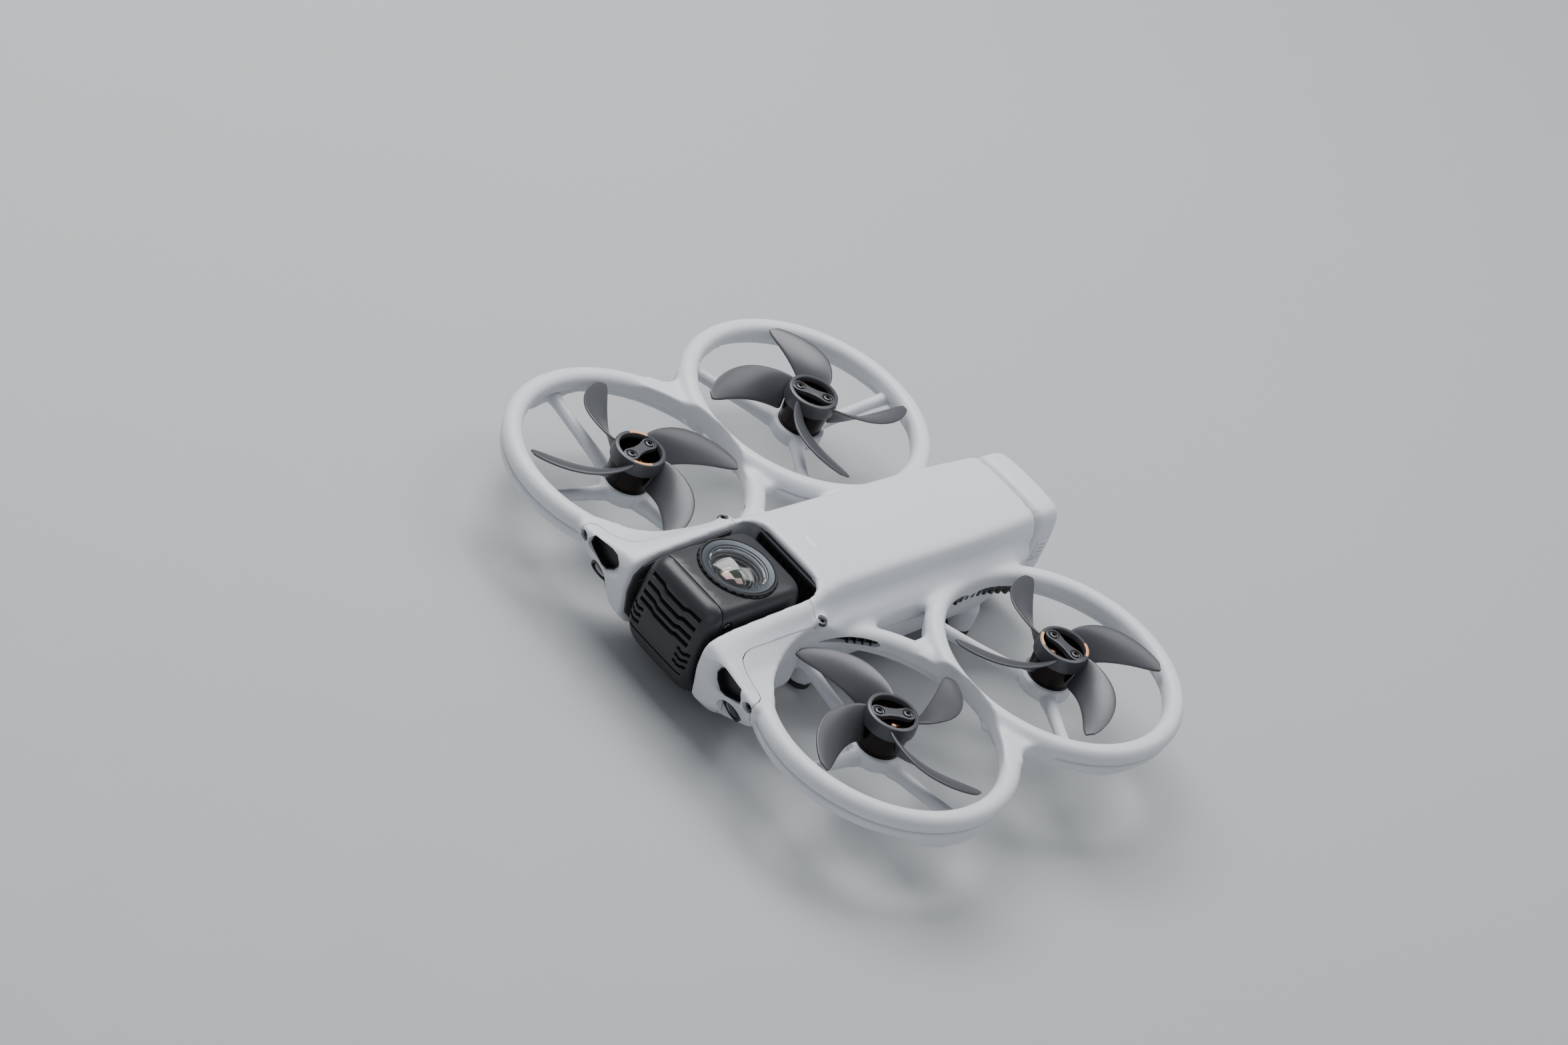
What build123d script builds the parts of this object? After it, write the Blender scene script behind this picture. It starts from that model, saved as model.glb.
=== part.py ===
"""Ducted camera drone: airframe with four guard rings, four motors and props, a turning
two-lens camera, and a battery that slides out at the tail.  Millimetres, nose towards -Y,
Z up, standing on its four feet at Z = 0, mirror-symmetric about X = 0."""
import os
from math import cos, sin, radians
from build123d import *

# ---------------------------------------------------------------- driving sizes
MOTOR_X = 72.0            # motor axis from the centre plane
HUB_Z_FRONT = 40.2        # top of the front prop hubs
HUB_Z_REAR = 45.5         # top of the rear prop hubs
PROP_R = 41.9             # prop tip radius
TIP_GAP = 1.3             # prop tip to guard ring
GUARD_MEET = 1.0          # front and rear guards share this much past their bores
MOTOR_Y = PROP_R + TIP_GAP + GUARD_MEET     # motor axis from mid-length
RING_W = 7.5              # guard tube, radial width
RING_H = 6.6              # guard tube height
RING_DROP_FRONT = 3.5     # front guard crest below its hub top
RING_DROP_REAR = 6.0      # rear guard crest below its hub top
SKIRT_W = 2.6             # thin wall below the tube
SKIRT_H = 4.0
SKIRT_INSET = 1.4         # skirt back from the tube's outer face
FIN_H = 4.5               # landing fin below the skirt
FIN_ARC = 34.0            # degrees
FIN_MID = -12.0           # degrees from the outward direction, towards the nose

HULL_W = 56.0             # fuselage width
HULL_TOP = 52.4
HULL_BOTTOM = 9.0
HULL_SPLIT = 28.0         # joint line between upper and lower shell
HULL_NOSE = -45.0         # where the front arms start
HULL_TAIL = 79.0
HULL_EDGE_R = 9.0         # top edge rounding
BELLY_EDGE_R = 6.0
WALL = 2.0
SEAM = 0.25               # visible parting gaps

BAY_W = 41.0              # camera bay
BAY_BACK = -32.0
BAY_LIP = 4.5             # top shell overhanging the bay's back wall
BAY_LIP_T = 4.0
ARM_FRONT = -93.6
ARM_TOP_FRONT = 41.5      # arm top at the nose, rising to the hull
ARM_TOP_BACK = 49.0
ARM_BOTTOM = HULL_BOTTOM + 1.0
ARM_BOTTOM_BACK = 14.0    # underside where the arm meets the hull
CHIN_BACK = 5.0           # chin behind the nose
BROW_BACK, BROW_SHARE = 12.0, 0.5   # bend in the arm's top line
LIP_BACK, LIP_DROP = 2.0, 2.0       # upper edge of the nose
FACE_DROP = 8.0
ARM_W = 10.5              # rail beside the bay
BUMPER_BACK = -70.0
BUMPER_W = 29.0           # bumper block outward from the bay wall
BUMPER_FACE = 8.0         # depth of the bumper's outer face
WINDOW_W, WINDOW_H = 11.0, 17.0
WINDOW_X, WINDOW_Z = 33.5, 32.5
WINDOW_PAST = 8.0         # the window runs this far past the bumper's back
SENSOR_X, SENSOR_Z = 35.7, 17.5
SENSOR_L, SENSOR_W = 13.4, 8.0      # upright oval glass
SENSOR_SET_BACK, SENSOR_T = 4.0, 4.4
BUMPER_SCREW_X, BUMPER_SCREW_Z = 45.8, 32.7
BUMPER_SCREW_SINK, BUMPER_SCREW_L = 1.5, 4.0

CAM_W, CAM_L, CAM_H = 36.0, 50.0, 43.6
CAM_Y, CAM_Z = -67.0, 28.4          # also the tilt axis
CAM_EDGE_R = 7.0
COVER_T = 8.0             # finned front cover
COVER_GAP = 0.5
COVER_POCKET = 4.0        # hollow behind the cover
SLOT_SIDE = 4.0           # slots in from the case's sides
FIN_SLOT_W, FIN_SLOT_PITCH, FIN_SLOTS, FIN_SLOT_DEPTH = 2.0, 4.4, 6, 3.0
LENS_Y = -63.2
LENS_RING_R, LENS_RING_T = 15.1, 2.6
LENS_RING_PROUD = 1.0
BARREL_R, BARREL_DEPTH = 10.4, 9.0
BARREL_LIP, BARREL_MOUTH = 1.0, 2.3     # wall and depth of the barrel's wide mouth
BARREL_FLOOR, BARREL_FLOOR_R = 2.0, 3.467
DOME_R, DOME_RISE, DOME_T = 12.0, 4.5, 1.2
PIVOT_R = 4.5
PIVOT_GAP = 0.3
PIVOT_POCKET = 6.0        # depth of the camera's side sockets
STEM_R, STEM_L = 2.25, 2.0
COVER_WALL = 2.0
COVER_RECESS, COVER_SPINE = 6.0, 8.0    # inside of the cover and the rib behind it, from the case's edges
SHAFT_CLEAR = 0.08

BATT_W, BATT_H = 37.2, 30.0
BATT_FRONT = 12.0
BATT_Z = 14.5
BATT_CLEAR = 0.5
CAP_W, CAP_TOP, CAP_BOTTOM = 40.4, 51.6, 10.5
CAP_EDGE_R = 7.0
LATCH_Y, LATCH_Z = 9.0, 34.5       # from the cap's front face
LATCH_L, LATCH_H, LATCH_T, LATCH_STROKE = 6.0, 8.0, 2.6, 1.2
BUTTON_R, BUTTON_T, BUTTON_PROUD, BUTTON_STROKE = 4.0, 3.0, 0.6, 0.8
BUTTON_CLEAR = 0.2
BUTTON_Z = 38.0

CUP_R, CUP_WALL, CUP_FLOOR, CUP_EDGE_R = 10.2, 1.6, 2.0, 2.0
CUP_DROP, CUP_H = 22.0, 6.5         # cup floor below the hub top
SPOKE_W, SPOKE_H = 5.6, 5.0
SPOKE_RISE = 6.0                    # spoke end above its root
SPOKES_FRONT = (0.0, -88.0, 180.0)  # degrees, +X side
SPOKES_REAR = (92.0, -36.0, -140.0)

BELL_R, BELL_FOOT_R, BELL_WALL = 9.3, 8.2, 1.0
BELL_TOP, BELL_BOTTOM = 2.2, 16.0   # below the hub top
SHAFT_R, SHAFT_LIFT = 1.5, 1.0
STATOR_R, STATOR_CORE_R = 6.6, 3.3
STATOR_TEETH = 9
STATOR_FILL = 1.2
STATOR_BASE_T = 3.0
STATOR_FOOT = 4.0
STATOR_TOP = 7.2          # post below the hub top
TEETH_TOP = 9.0
HUB_R, HUB_T = 9.76, 2.2
HUB_RIM = 1.6
BRIDGE_W = 5.6
SCREW_PITCH_R, SCREW_R, SCREW_HEAD_R, SCREW_HEAD_H, SCREW_L = 5.56, 0.9, 1.8, 1.2, 3.0
SCREW_CLEAR = 0.1
HEX_R = 0.75
BLADES = 4
BLADE_T = 1.0
BLADE_ROOT_R = 8.6
# radius share, lead angle and lag angle against the tip (deg), lead and lag edge below hub top
BLADE_STATIONS = (
    (0.20, -60.0, -30.0, 1.4, 9.6),
    (0.36, -53.0, -15.0, 1.2, 10.6),
    (0.60, -38.0, -6.0, 1.6, 8.2),
    (0.84, -19.0, 0.0, 3.0, 6.8),
    (0.95, -9.0, 1.5, 4.2, 6.0),
    (1.00, -2.5, 0.5, 5.1, 5.6),
)
PROP_TURN = {"front_right": 13.0, "rear_right": 61.0, "front_left": 67.0, "rear_left": 69.0}
HUB_TURN = {"front_right": 62.0, "rear_right": 5.0, "front_left": 102.0, "rear_left": 35.0}
MARK_ARC, MARK_W, MARK_T = 46.0, 0.8, 0.3

FAN_R, FAN_T, FAN_BLADES = 13.0, 7.0, 9
FAN_WALL, FAN_FLOOR = 1.2, 1.0
FAN_MOUTH_R, FAN_BOSS_R, FAN_HUB_R = 10.4, 4.55, 5.2
FAN_BARS, FAN_BAR_TURN, FAN_BAR_W = 3, 30.0, 2.0
FAN_LIFT, FAN_SINK = 0.3, 0.3       # rotor clear of the floor and of the rim
VANE_LIFT, VANE_SINK = 0.6, 0.8
VANE_ROOT_R, VANE_CLEAR, VANE_T = 3.9, 0.2, 1.0
FAN_Y, FAN_Z = -12.0, 30.0
FAN_CLEAR = 0.6
BOARD_L, BOARD_W, BOARD_T = 32.0, 43.0, 1.6
BOARD_Y, BOARD_Z = -11.0, 24.0
SINK_PLATE, SINK_RIB, SINK_FINS, SINK_FIN_T = 1.2, 0.8, 11, 1.2
SINK_SIDE = 3.0           # plate in from the bay walls
SINK_LOW, SINK_HIGH, SINK_EDGE = HULL_BOTTOM + 8.0, HULL_TOP - 9.0, 1.0
FOOT_FRONT = (19.0, HULL_NOSE + 21.0)
FOOT_REAR = (19.0, HULL_TAIL - 17.0)
FOOT_R, FOOT_PAD_T, FOOT_ROOT = 4.6, 2.0, 2.0       # root: post into the belly
LIGHT_L, LIGHT_W, LIGHT_T = 7.0, 1.8, 1.0
LIGHT_Y = -26.8
BELLY_GLASS_L, BELLY_GLASS_W, BELLY_GLASS_T = 22.0, 14.0, 1.4
BELLY_GLASS_Y = 20.0
GUSSET_IN, GUSSET_OUT, GUSSET_HALF = 12.0, 33.0, 13.0     # outward from the motor axis

RING_IN = PROP_R + TIP_GAP
RING_OUT = RING_IN + RING_W
TAIL = MOTOR_Y + RING_OUT           # tail cap and button end level with the rear rings
CAP_L = TAIL - BUTTON_PROUD - HULL_TAIL - SEAM
CORNERS = {
    "front_right": (MOTOR_X, -MOTOR_Y, HUB_Z_FRONT, RING_DROP_FRONT, SPOKES_FRONT, 1),
    "front_left": (-MOTOR_X, -MOTOR_Y, HUB_Z_FRONT, RING_DROP_FRONT, SPOKES_FRONT, -1),
    "rear_right": (MOTOR_X, MOTOR_Y, HUB_Z_REAR, RING_DROP_REAR, SPOKES_REAR, 1),
    "rear_left": (-MOTOR_X, MOTOR_Y, HUB_Z_REAR, RING_DROP_REAR, SPOKES_REAR, -1),
}
BIG = 400.0
PAST = 1.0                          # cutters run this far past a face


# ---------------------------------------------------------------- helpers
def block(x0, x1, y0, y1, z0, z1):
    return Pos((x0 + x1) / 2, (y0 + y1) / 2, (z0 + z1) / 2) * Box(x1 - x0, y1 - y0, z1 - z0)


def disc(x, y, z0, z1, r):
    return Pos(x, y, (z0 + z1) / 2) * Cylinder(r, z1 - z0)


def flip(shape):
    return mirror(shape, about=Plane.YZ)


def rod_x(x0, x1, y, z, r):
    return Pos((x0 + x1) / 2, y, z) * Rot(0, 90, 0) * Cylinder(r, abs(x1 - x0))


def rod_y(y0, y1, x, z, r):
    return Pos(x, (y0 + y1) / 2, z) * Rot(90, 0, 0) * Cylinder(r, abs(y1 - y0))


def ring_band(x, y, top):
    """Guard tube with its thin skirt, turned about the motor axis."""
    low = top - RING_H
    half = RING_W / 2
    skirt_out = RING_OUT - SKIRT_INSET
    skirt_in, skirt_low = skirt_out - SKIRT_W, low - SKIRT_H
    with BuildPart() as band:
        with BuildSketch(Plane.XZ):
            with BuildLine():
                Line((RING_IN, low + half / 2), (RING_IN, top - half))
                ThreePointArc((RING_IN, top - half), (RING_IN + half, top), (RING_OUT, top - half))
                Line((RING_OUT, top - half), (RING_OUT, low + half / 2))
                Line((RING_OUT, low + half / 2), (skirt_out, low))
                Line((skirt_out, low), (skirt_out, skirt_low))
                Line((skirt_out, skirt_low), (skirt_in, skirt_low))
                Line((skirt_in, skirt_low), (skirt_in, low))
                Line((skirt_in, low), (RING_IN, low + half / 2))
            make_face()
        revolve(axis=Axis.Z)
    return Pos(x, y, 0) * band.part


def save(shape, name):
    solids = shape.solids()
    out = solids[0]
    if len(solids) > 1:
        out = Compound(children=[Solid(s.wrapped) for s in solids])
    out.label = name
    export_step(out, f"parts/{name}.step")
    print(name, len(solids), "solids", [round(v, 1) for v in out.bounding_box().size])
    return out


# ---------------------------------------------------------------- guard rings
def guard_ring(key):
    x, y, hub, drop, _, side = CORNERS[key]
    top = hub - drop
    ring = ring_band(x, y, top)
    front = y < 0
    keep = block(-BIG, BIG, -BIG, 0, 0, BIG) if front else block(-BIG, BIG, 0, BIG, 0, BIG)
    ring = ring & keep
    if front:
        mid = FIN_MID if side > 0 else 180 - FIN_MID
        r_out = RING_OUT - SKIRT_INSET
        low = top - RING_H - SKIRT_H
        tube = Cylinder(r_out, FIN_H) - Cylinder(r_out - SKIRT_W, FIN_H)
        wedge = Polygon((0, 0), *[(2 * RING_OUT * cos(radians(a)), 2 * RING_OUT * sin(radians(a)))
                                  for a in (-FIN_ARC / 2, 0, FIN_ARC / 2)], align=None)
        fin = tube & extrude(Rot(0, 0, mid) * wedge, FIN_H, both=True)
        return ring + Pos(x, y, low - FIN_H / 2) * fin
    return ring - battery_cut()


def motor_mount(key):
    x, y, hub, drop, spokes, side = CORNERS[key]
    floor = hub - CUP_DROP
    cup = disc(0, 0, floor, floor + CUP_H, CUP_R)
    cup = fillet(cup.edges().group_by(Axis.Z)[0], CUP_EDGE_R)
    root = floor + CUP_H / 2
    end_r = RING_OUT - SKIRT_INSET - SKIRT_W
    bars = None
    far = end_r + SPOKE_W
    for angle in spokes:
        web = extrude(Plane.XZ * Polygon(
            (CUP_R / 2, root - SPOKE_H / 2), (far, root - SPOKE_H / 2 + SPOKE_RISE),
            (far, root + SPOKE_H / 2 + SPOKE_RISE), (CUP_R / 2, root + SPOKE_H / 2),
            align=None), SPOKE_W / 2, both=True)
        ridges = web.edges().filter_by(lambda e: e.length > CUP_R * 2).sort_by(Axis.Z)[-2:]
        web = fillet(ridges, SPOKE_W / 3)
        web = web & disc(0, 0, 0, BIG, end_r)
        bar = Rot(0, 0, angle) * web
        bars = bar if bars is None else bars + bar
    low_edge = hub - drop - RING_H
    tube_clear = disc(0, 0, low_edge - SKIRT_H / 2, BIG, BIG / 2) - disc(0, 0, 0, BIG, RING_IN)
    body = cup + (bars - tube_clear)
    body = body - disc(0, 0, floor + CUP_FLOOR, BIG, CUP_R - CUP_WALL)
    if side < 0:
        body = flip(body)
    return Pos(x, y, 0) * body


# ---------------------------------------------------------------- hull
def hull_blank():
    half = HULL_W / 2
    blank = block(-half, half, HULL_NOSE, HULL_TAIL, HULL_BOTTOM, HULL_TOP)
    top = blank.edges().filter_by(Axis.Y).group_by(Axis.Z)[-1]
    blank = fillet(top, HULL_EDGE_R)
    low = blank.edges().filter_by(Axis.Y).group_by(Axis.Z)[0]
    return fillet(low, BELLY_EDGE_R)


def clear_ducts(shape):
    """Trim the hull to the guard rings: outside the tube at ring height, outside the bore above."""
    for key, (x, y, hub, drop, _, side) in CORNERS.items():
        top = hub - drop
        spoke_low = hub - CUP_DROP + SPOKE_H
        low = min(top - RING_H - SKIRT_H, spoke_low)
        shape = shape - disc(x, y, low, top, RING_OUT)
        shape = shape - disc(x, y, 0, BIG, RING_IN)
    return shape


def bay_cut():
    half = BAY_W / 2
    lip_back = BAY_BACK - BAY_LIP
    under = block(-half, half, -BIG, BAY_BACK, -PAST, HULL_TOP - BAY_LIP_T)
    over = block(-half, half, -BIG, lip_back, 0, BIG)
    over = fillet(over.edges().filter_by(Axis.Z).group_by(Axis.Y)[-1], HULL_EDGE_R)
    return under + over


def battery_cut():
    half = BATT_W / 2 + BATT_CLEAR
    return block(-half, half, BATT_FRONT - BATT_CLEAR, BIG, BATT_Z - BATT_CLEAR, BATT_Z + BATT_H + BATT_CLEAR)


def machine_room():
    half = HULL_W / 2 - 3 * WALL
    return block(-half, half, BAY_BACK + 2 * WALL, BATT_FRONT - BATT_CLEAR - WALL,
                 HULL_BOTTOM + 2 * WALL, HULL_TOP - 3 * WALL)


def light_slot():
    pill = extrude(SlotOverall(LIGHT_L, LIGHT_W), LIGHT_T)
    return Pos(0, LIGHT_Y, HULL_TOP - LIGHT_T) * pill


def hull():
    blank = clear_ducts(hull_blank()) - bay_cut() - battery_cut() - machine_room()
    upper = blank & block(-BIG, BIG, -BIG, BIG, HULL_SPLIT, BIG)
    lower = blank & block(-BIG, BIG, -BIG, BIG, 0, HULL_SPLIT)
    upper = upper - light_slot()
    glass = Pos(0, BELLY_GLASS_Y, HULL_BOTTOM + BELLY_GLASS_T / 2) * Box(
        BELLY_GLASS_W, BELLY_GLASS_L, BELLY_GLASS_T)
    lower = lower - glass
    for fx, fy in (FOOT_FRONT, FOOT_REAR):
        for side in (1, -1):
            lower = lower + disc(side * fx, fy, FOOT_PAD_T, HULL_BOTTOM + FOOT_ROOT, FOOT_R)
    return upper, lower, glass


def front_arm():
    """Rail beside the camera bay and the bumper at the nose, +X side."""
    inner = BAY_W / 2
    rise = ARM_TOP_BACK - ARM_TOP_FRONT
    side_view = Plane.YZ * Polygon(
        (ARM_FRONT + CHIN_BACK, ARM_BOTTOM), (BUMPER_BACK, ARM_BOTTOM), (HULL_NOSE, ARM_BOTTOM_BACK),
        (HULL_NOSE, ARM_TOP_BACK), (ARM_FRONT + BROW_BACK, ARM_TOP_FRONT + rise * BROW_SHARE),
        (ARM_FRONT + LIP_BACK, ARM_TOP_FRONT - LIP_DROP), (ARM_FRONT, ARM_TOP_FRONT - FACE_DROP), align=None)
    rail = extrude(side_view, BIG, dir=(1, 0, 0)) & block(
        inner, inner + BUMPER_W, -BIG, HULL_NOSE - SEAM, 0, BIG)
    plan = Polygon((inner, -BIG), (inner + BUMPER_W, -BIG), (inner + BUMPER_W, ARM_FRONT + BUMPER_FACE),
                   (inner + ARM_W, BUMPER_BACK), (inner + ARM_W, 0), (inner, 0), align=None)
    rail = rail & extrude(plan, BIG)
    rail = clear_ducts(rail)
    window = block(WINDOW_X - WINDOW_W / 2, WINDOW_X + WINDOW_W / 2, -BIG, BUMPER_BACK + WINDOW_PAST,
                   WINDOW_Z - WINDOW_H / 2, WINDOW_Z + WINDOW_H / 2)
    window = fillet(window.edges().filter_by(Axis.Y), WINDOW_W / 3)
    rail = rail - window
    rail = rail - sensor_glass() - bumper_screw()
    return rail - rod_x(0, inner + STEM_L + PIVOT_GAP, CAM_Y, CAM_Z, STEM_R + SHAFT_CLEAR)


def sensor_glass():
    oval = SlotOverall(SENSOR_L, SENSOR_W, rotation=90)
    face = Plane.XZ.offset(-(ARM_FRONT + SENSOR_SET_BACK))
    return extrude(face * Pos(SENSOR_X, SENSOR_Z) * oval, SENSOR_T, dir=(0, 1, 0))


def bumper_screw():
    y = ARM_FRONT + BUMPER_SCREW_SINK
    head = rod_y(y, y + SCREW_HEAD_H, BUMPER_SCREW_X, BUMPER_SCREW_Z, SCREW_HEAD_R)
    shank = rod_y(y, y + BUMPER_SCREW_L, BUMPER_SCREW_X, BUMPER_SCREW_Z, SCREW_R)
    return head + shank


def gusset():
    """Web joining the two rings of one side, outboard; +X side."""
    low = HUB_Z_FRONT - RING_DROP_FRONT - RING_H
    top = HUB_Z_FRONT - RING_DROP_FRONT
    web = block(MOTOR_X + GUSSET_IN, MOTOR_X + GUSSET_OUT, -GUSSET_HALF, GUSSET_HALF, low, top)
    for y in (-MOTOR_Y, MOTOR_Y):
        web = web - disc(MOTOR_X, y, 0, BIG, RING_OUT)
    return web.solids().sort_by(SortBy.VOLUME)[-1]


# ---------------------------------------------------------------- camera
def camera():
    half = CAM_W / 2
    front, back = CAM_Y - CAM_L / 2, CAM_Y + CAM_L / 2
    low, high = CAM_Z - CAM_H / 2, CAM_Z + CAM_H / 2
    shell = block(-half, half, front, back, low, high)
    shell = fillet(shell.edges().filter_by(Axis.X), CAM_EDGE_R)
    shell = fillet(shell.edges().group_by(Axis.X)[0] + shell.edges().group_by(Axis.X)[-1], CAM_EDGE_R / 3)
    cover = shell & block(-BIG, BIG, -BIG, front + COVER_T, 0, BIG)
    body = shell & block(-BIG, BIG, front + COVER_T + COVER_GAP, BIG, 0, BIG)
    inside = front + COVER_T - COVER_POCKET
    cover = cover - block(-half + COVER_WALL, half - COVER_WALL, inside, front + COVER_T,
                          low + COVER_RECESS, high - COVER_RECESS)
    spine = block(-half + SLOT_SIDE, half - SLOT_SIDE, inside + SHAFT_CLEAR,
                  front + COVER_T + COVER_GAP, low + COVER_SPINE, high - COVER_SPINE)
    body = body + spine
    slot_span = (FIN_SLOTS - 1) * FIN_SLOT_PITCH
    for i in range(FIN_SLOTS):
        z = CAM_Z + slot_span / 2 - i * FIN_SLOT_PITCH
        slot = block(-half + SLOT_SIDE, half - SLOT_SIDE, front - PAST, front + FIN_SLOT_DEPTH,
                     z - FIN_SLOT_W / 2, z + FIN_SLOT_W / 2)
        cover = cover - slot
    pieces = {}
    for name, sign in (("top", 1), ("bottom", -1)):
        face = CAM_Z + sign * CAM_H / 2
        outer = face + sign * LENS_RING_PROUD
        inner = outer - sign * LENS_RING_T
        ring = disc(0, LENS_Y, *sorted((inner, outer)), LENS_RING_R)
        seat = disc(0, LENS_Y, *sorted((outer - sign * DOME_T, outer)), DOME_R)
        ring = ring - seat - disc(0, LENS_Y, *sorted((inner, outer)), BARREL_R)
        floor = face - sign * BARREL_DEPTH
        barrel = disc(0, LENS_Y, *sorted((floor, outer - sign * DOME_T)), BARREL_R)
        cone = Pos(0, LENS_Y, (floor + outer) / 2) * Rot(0, 0 if sign > 0 else 180, 0) * Cone(
            BARREL_FLOOR_R, BARREL_R - BARREL_LIP, abs(outer - floor) - 2 * BARREL_FLOOR)
        mouth = outer - sign * (DOME_T + BARREL_MOUTH)
        barrel = barrel - cone - disc(0, LENS_Y, *sorted((mouth, outer)), BARREL_R - BARREL_LIP)
        body = body - disc(0, LENS_Y, *sorted((floor, outer)), BARREL_R)
        body = body - disc(0, LENS_Y, *sorted((inner, outer)), LENS_RING_R)
        pieces["lens_ring_" + name] = ring
        pieces["lens_barrel_" + name] = barrel
        pieces["lens_dome_" + name] = dome(outer - sign * DOME_T, sign)
    pins = []
    pocket = CAM_W / 2 - PIVOT_POCKET
    for side in (1, -1):
        pin = rod_x(side * pocket, side * (BAY_W / 2 - PIVOT_GAP), CAM_Y, CAM_Z, PIVOT_R)
        stem = rod_x(side * (BAY_W / 2 - PIVOT_GAP), side * (BAY_W / 2 + STEM_L), CAM_Y, CAM_Z, STEM_R)
        pins.append(pin + stem)
        body = body - rod_x(side * pocket, side * BAY_W, CAM_Y, CAM_Z, PIVOT_R)
    pieces["camera_body"] = body
    pieces["camera_front_cover"] = cover
    pieces["camera_pivots"] = pins[0] + pins[1]
    return pieces


def dome(base, sign):
    """Thin glass cap over one lens."""
    big_r = (DOME_R ** 2 + DOME_RISE ** 2) / (2 * DOME_RISE)
    cap = Pos(0, 0, DOME_RISE - big_r) * Sphere(big_r) & disc(0, 0, 0, BIG, DOME_R)
    hollow = Pos(0, 0, DOME_RISE - big_r) * Sphere(big_r - DOME_T)
    glass = cap - hollow
    if sign < 0:
        glass = mirror(glass, about=Plane.XY)
    return Pos(0, LENS_Y, base) * glass


# ---------------------------------------------------------------- battery
def battery():
    core = block(-BATT_W / 2, BATT_W / 2, BATT_FRONT, HULL_TAIL + SEAM, BATT_Z, BATT_Z + BATT_H)
    tail = HULL_TAIL + SEAM + CAP_L
    cap = block(-CAP_W / 2, CAP_W / 2, HULL_TAIL + SEAM, tail, CAP_BOTTOM, CAP_TOP)
    cap = fillet(cap.edges().filter_by(Axis.Y), CAP_EDGE_R)
    cap = fillet(cap.edges().group_by(Axis.Y)[-1], CAP_EDGE_R / 2)
    cap = clear_ducts(cap)
    pack = core + cap
    for side in (1, -1):
        pack = pack - latch_key(side, BUTTON_CLEAR, LATCH_STROKE + BUTTON_CLEAR, PAST)
    return pack - rod_y(tail - BUTTON_T - BUTTON_STROKE, tail + PAST, 0, BUTTON_Z, BUTTON_R + BUTTON_CLEAR)


def latch_key(side, grow=0.0, deeper=0.0, past=0.0):
    y = HULL_TAIL + LATCH_Y
    out = CAP_W / 2
    return block(*sorted((side * (out - LATCH_T - deeper), side * (out + past))),
                 y - LATCH_L / 2 - grow, y + LATCH_L / 2 + grow,
                 LATCH_Z - LATCH_H / 2 - grow, LATCH_Z + LATCH_H / 2 + grow)


# ---------------------------------------------------------------- motors and props
def bell(x, y, hub, turn):
    top, low = hub - BELL_TOP, hub - BELL_BOTTOM
    skin = Pos(0, 0, (top + low) / 2) * Cone(BELL_FOOT_R, BELL_R, top - low)
    bore = Pos(0, 0, (top + low) / 2) * Cone(BELL_FOOT_R - BELL_WALL, BELL_R - BELL_WALL, top - low)
    body = skin - bore
    bar = extrude(SlotOverall(2 * BELL_R - BELL_WALL, BRIDGE_W), HUB_T)
    body = body + Pos(0, 0, top - HUB_T) * Rot(0, 0, turn) * bar
    body = body + disc(0, 0, hub - CUP_DROP + CUP_FLOOR + SHAFT_LIFT, top, SHAFT_R)
    for a in (0, 180):
        hole = Rot(0, 0, turn + a) * Pos(SCREW_PITCH_R, 0, 0) * disc(0, 0, top - HUB_T, top, SCREW_R)
        body = body - hole
    return Pos(x, y, 0) * body


def stator(x, y, hub):
    floor = hub - CUP_DROP + CUP_FLOOR
    base = disc(0, 0, floor, floor + STATOR_BASE_T, CUP_R - CUP_WALL)
    core = disc(0, 0, floor, hub - STATOR_TOP, STATOR_CORE_R)
    low, high = floor + STATOR_FOOT, hub - TEETH_TOP
    tooth_w = STATOR_R * sin(radians(180 / STATOR_TEETH)) * STATOR_FILL
    for i in range(STATOR_TEETH):
        tooth = block(STATOR_CORE_R - PAST, STATOR_R, -tooth_w / 2, tooth_w / 2, low, high)
        core = core + Rot(0, 0, i * 360 / STATOR_TEETH) * tooth
    body = base + core - disc(0, 0, floor, hub, SHAFT_R + SHAFT_CLEAR)
    return Pos(x, y, 0) * body


def blade(hub, hand):
    faces = []
    for share, lead, lag, dz_lead, dz_lag in BLADE_STATIONS:
        r = max(PROP_R * share, BLADE_ROOT_R)
        if share == 1.0:
            r -= BLADE_T / 2
        ends = []
        for angle, dz in ((lead, dz_lead), (lag, dz_lag)):
            a = radians(angle)
            ends.append(Vector(r * cos(a), hand * r * sin(a), hub - dz))
        mid = (ends[0] + ends[1]) * 0.5
        along = ends[1] - ends[0]
        out = Vector(mid.X, mid.Y, 0).normalized()
        normal = (out - along * (out.dot(along) / along.dot(along))).normalized()
        plane = Plane(origin=mid, x_dir=along, z_dir=normal)
        faces.append((plane * Rectangle(along.length, BLADE_T)).face())
    return loft(faces)


def prop(x, y, hub, tip, hub_turn, hand):
    plate = disc(0, 0, hub - HUB_T, hub, HUB_R)
    window = disc(0, 0, hub - HUB_T, hub, HUB_R - HUB_RIM)
    bar = extrude(SlotOverall(2 * HUB_R, BRIDGE_W), HUB_T)
    window = window - Pos(0, 0, hub - HUB_T) * Rot(0, 0, hub_turn) * bar
    body = plate - window
    for i in range(BLADES):
        body = body + Rot(0, 0, tip + i * 360 / BLADES) * blade(hub, hand)
    body = body - disc(0, 0, hub - BELL_BOTTOM, hub - HUB_T, BELL_R + SHAFT_CLEAR)
    for a in (0, 180):
        seat = Rot(0, 0, hub_turn + a) * Pos(SCREW_PITCH_R, 0, 0)
        body = body - seat * disc(0, 0, hub - SCREW_HEAD_H, hub, SCREW_HEAD_R + SCREW_CLEAR)
        body = body - seat * disc(0, 0, hub - HUB_T, hub, SCREW_R + SCREW_CLEAR)
    return Pos(x, y, 0) * body


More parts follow.
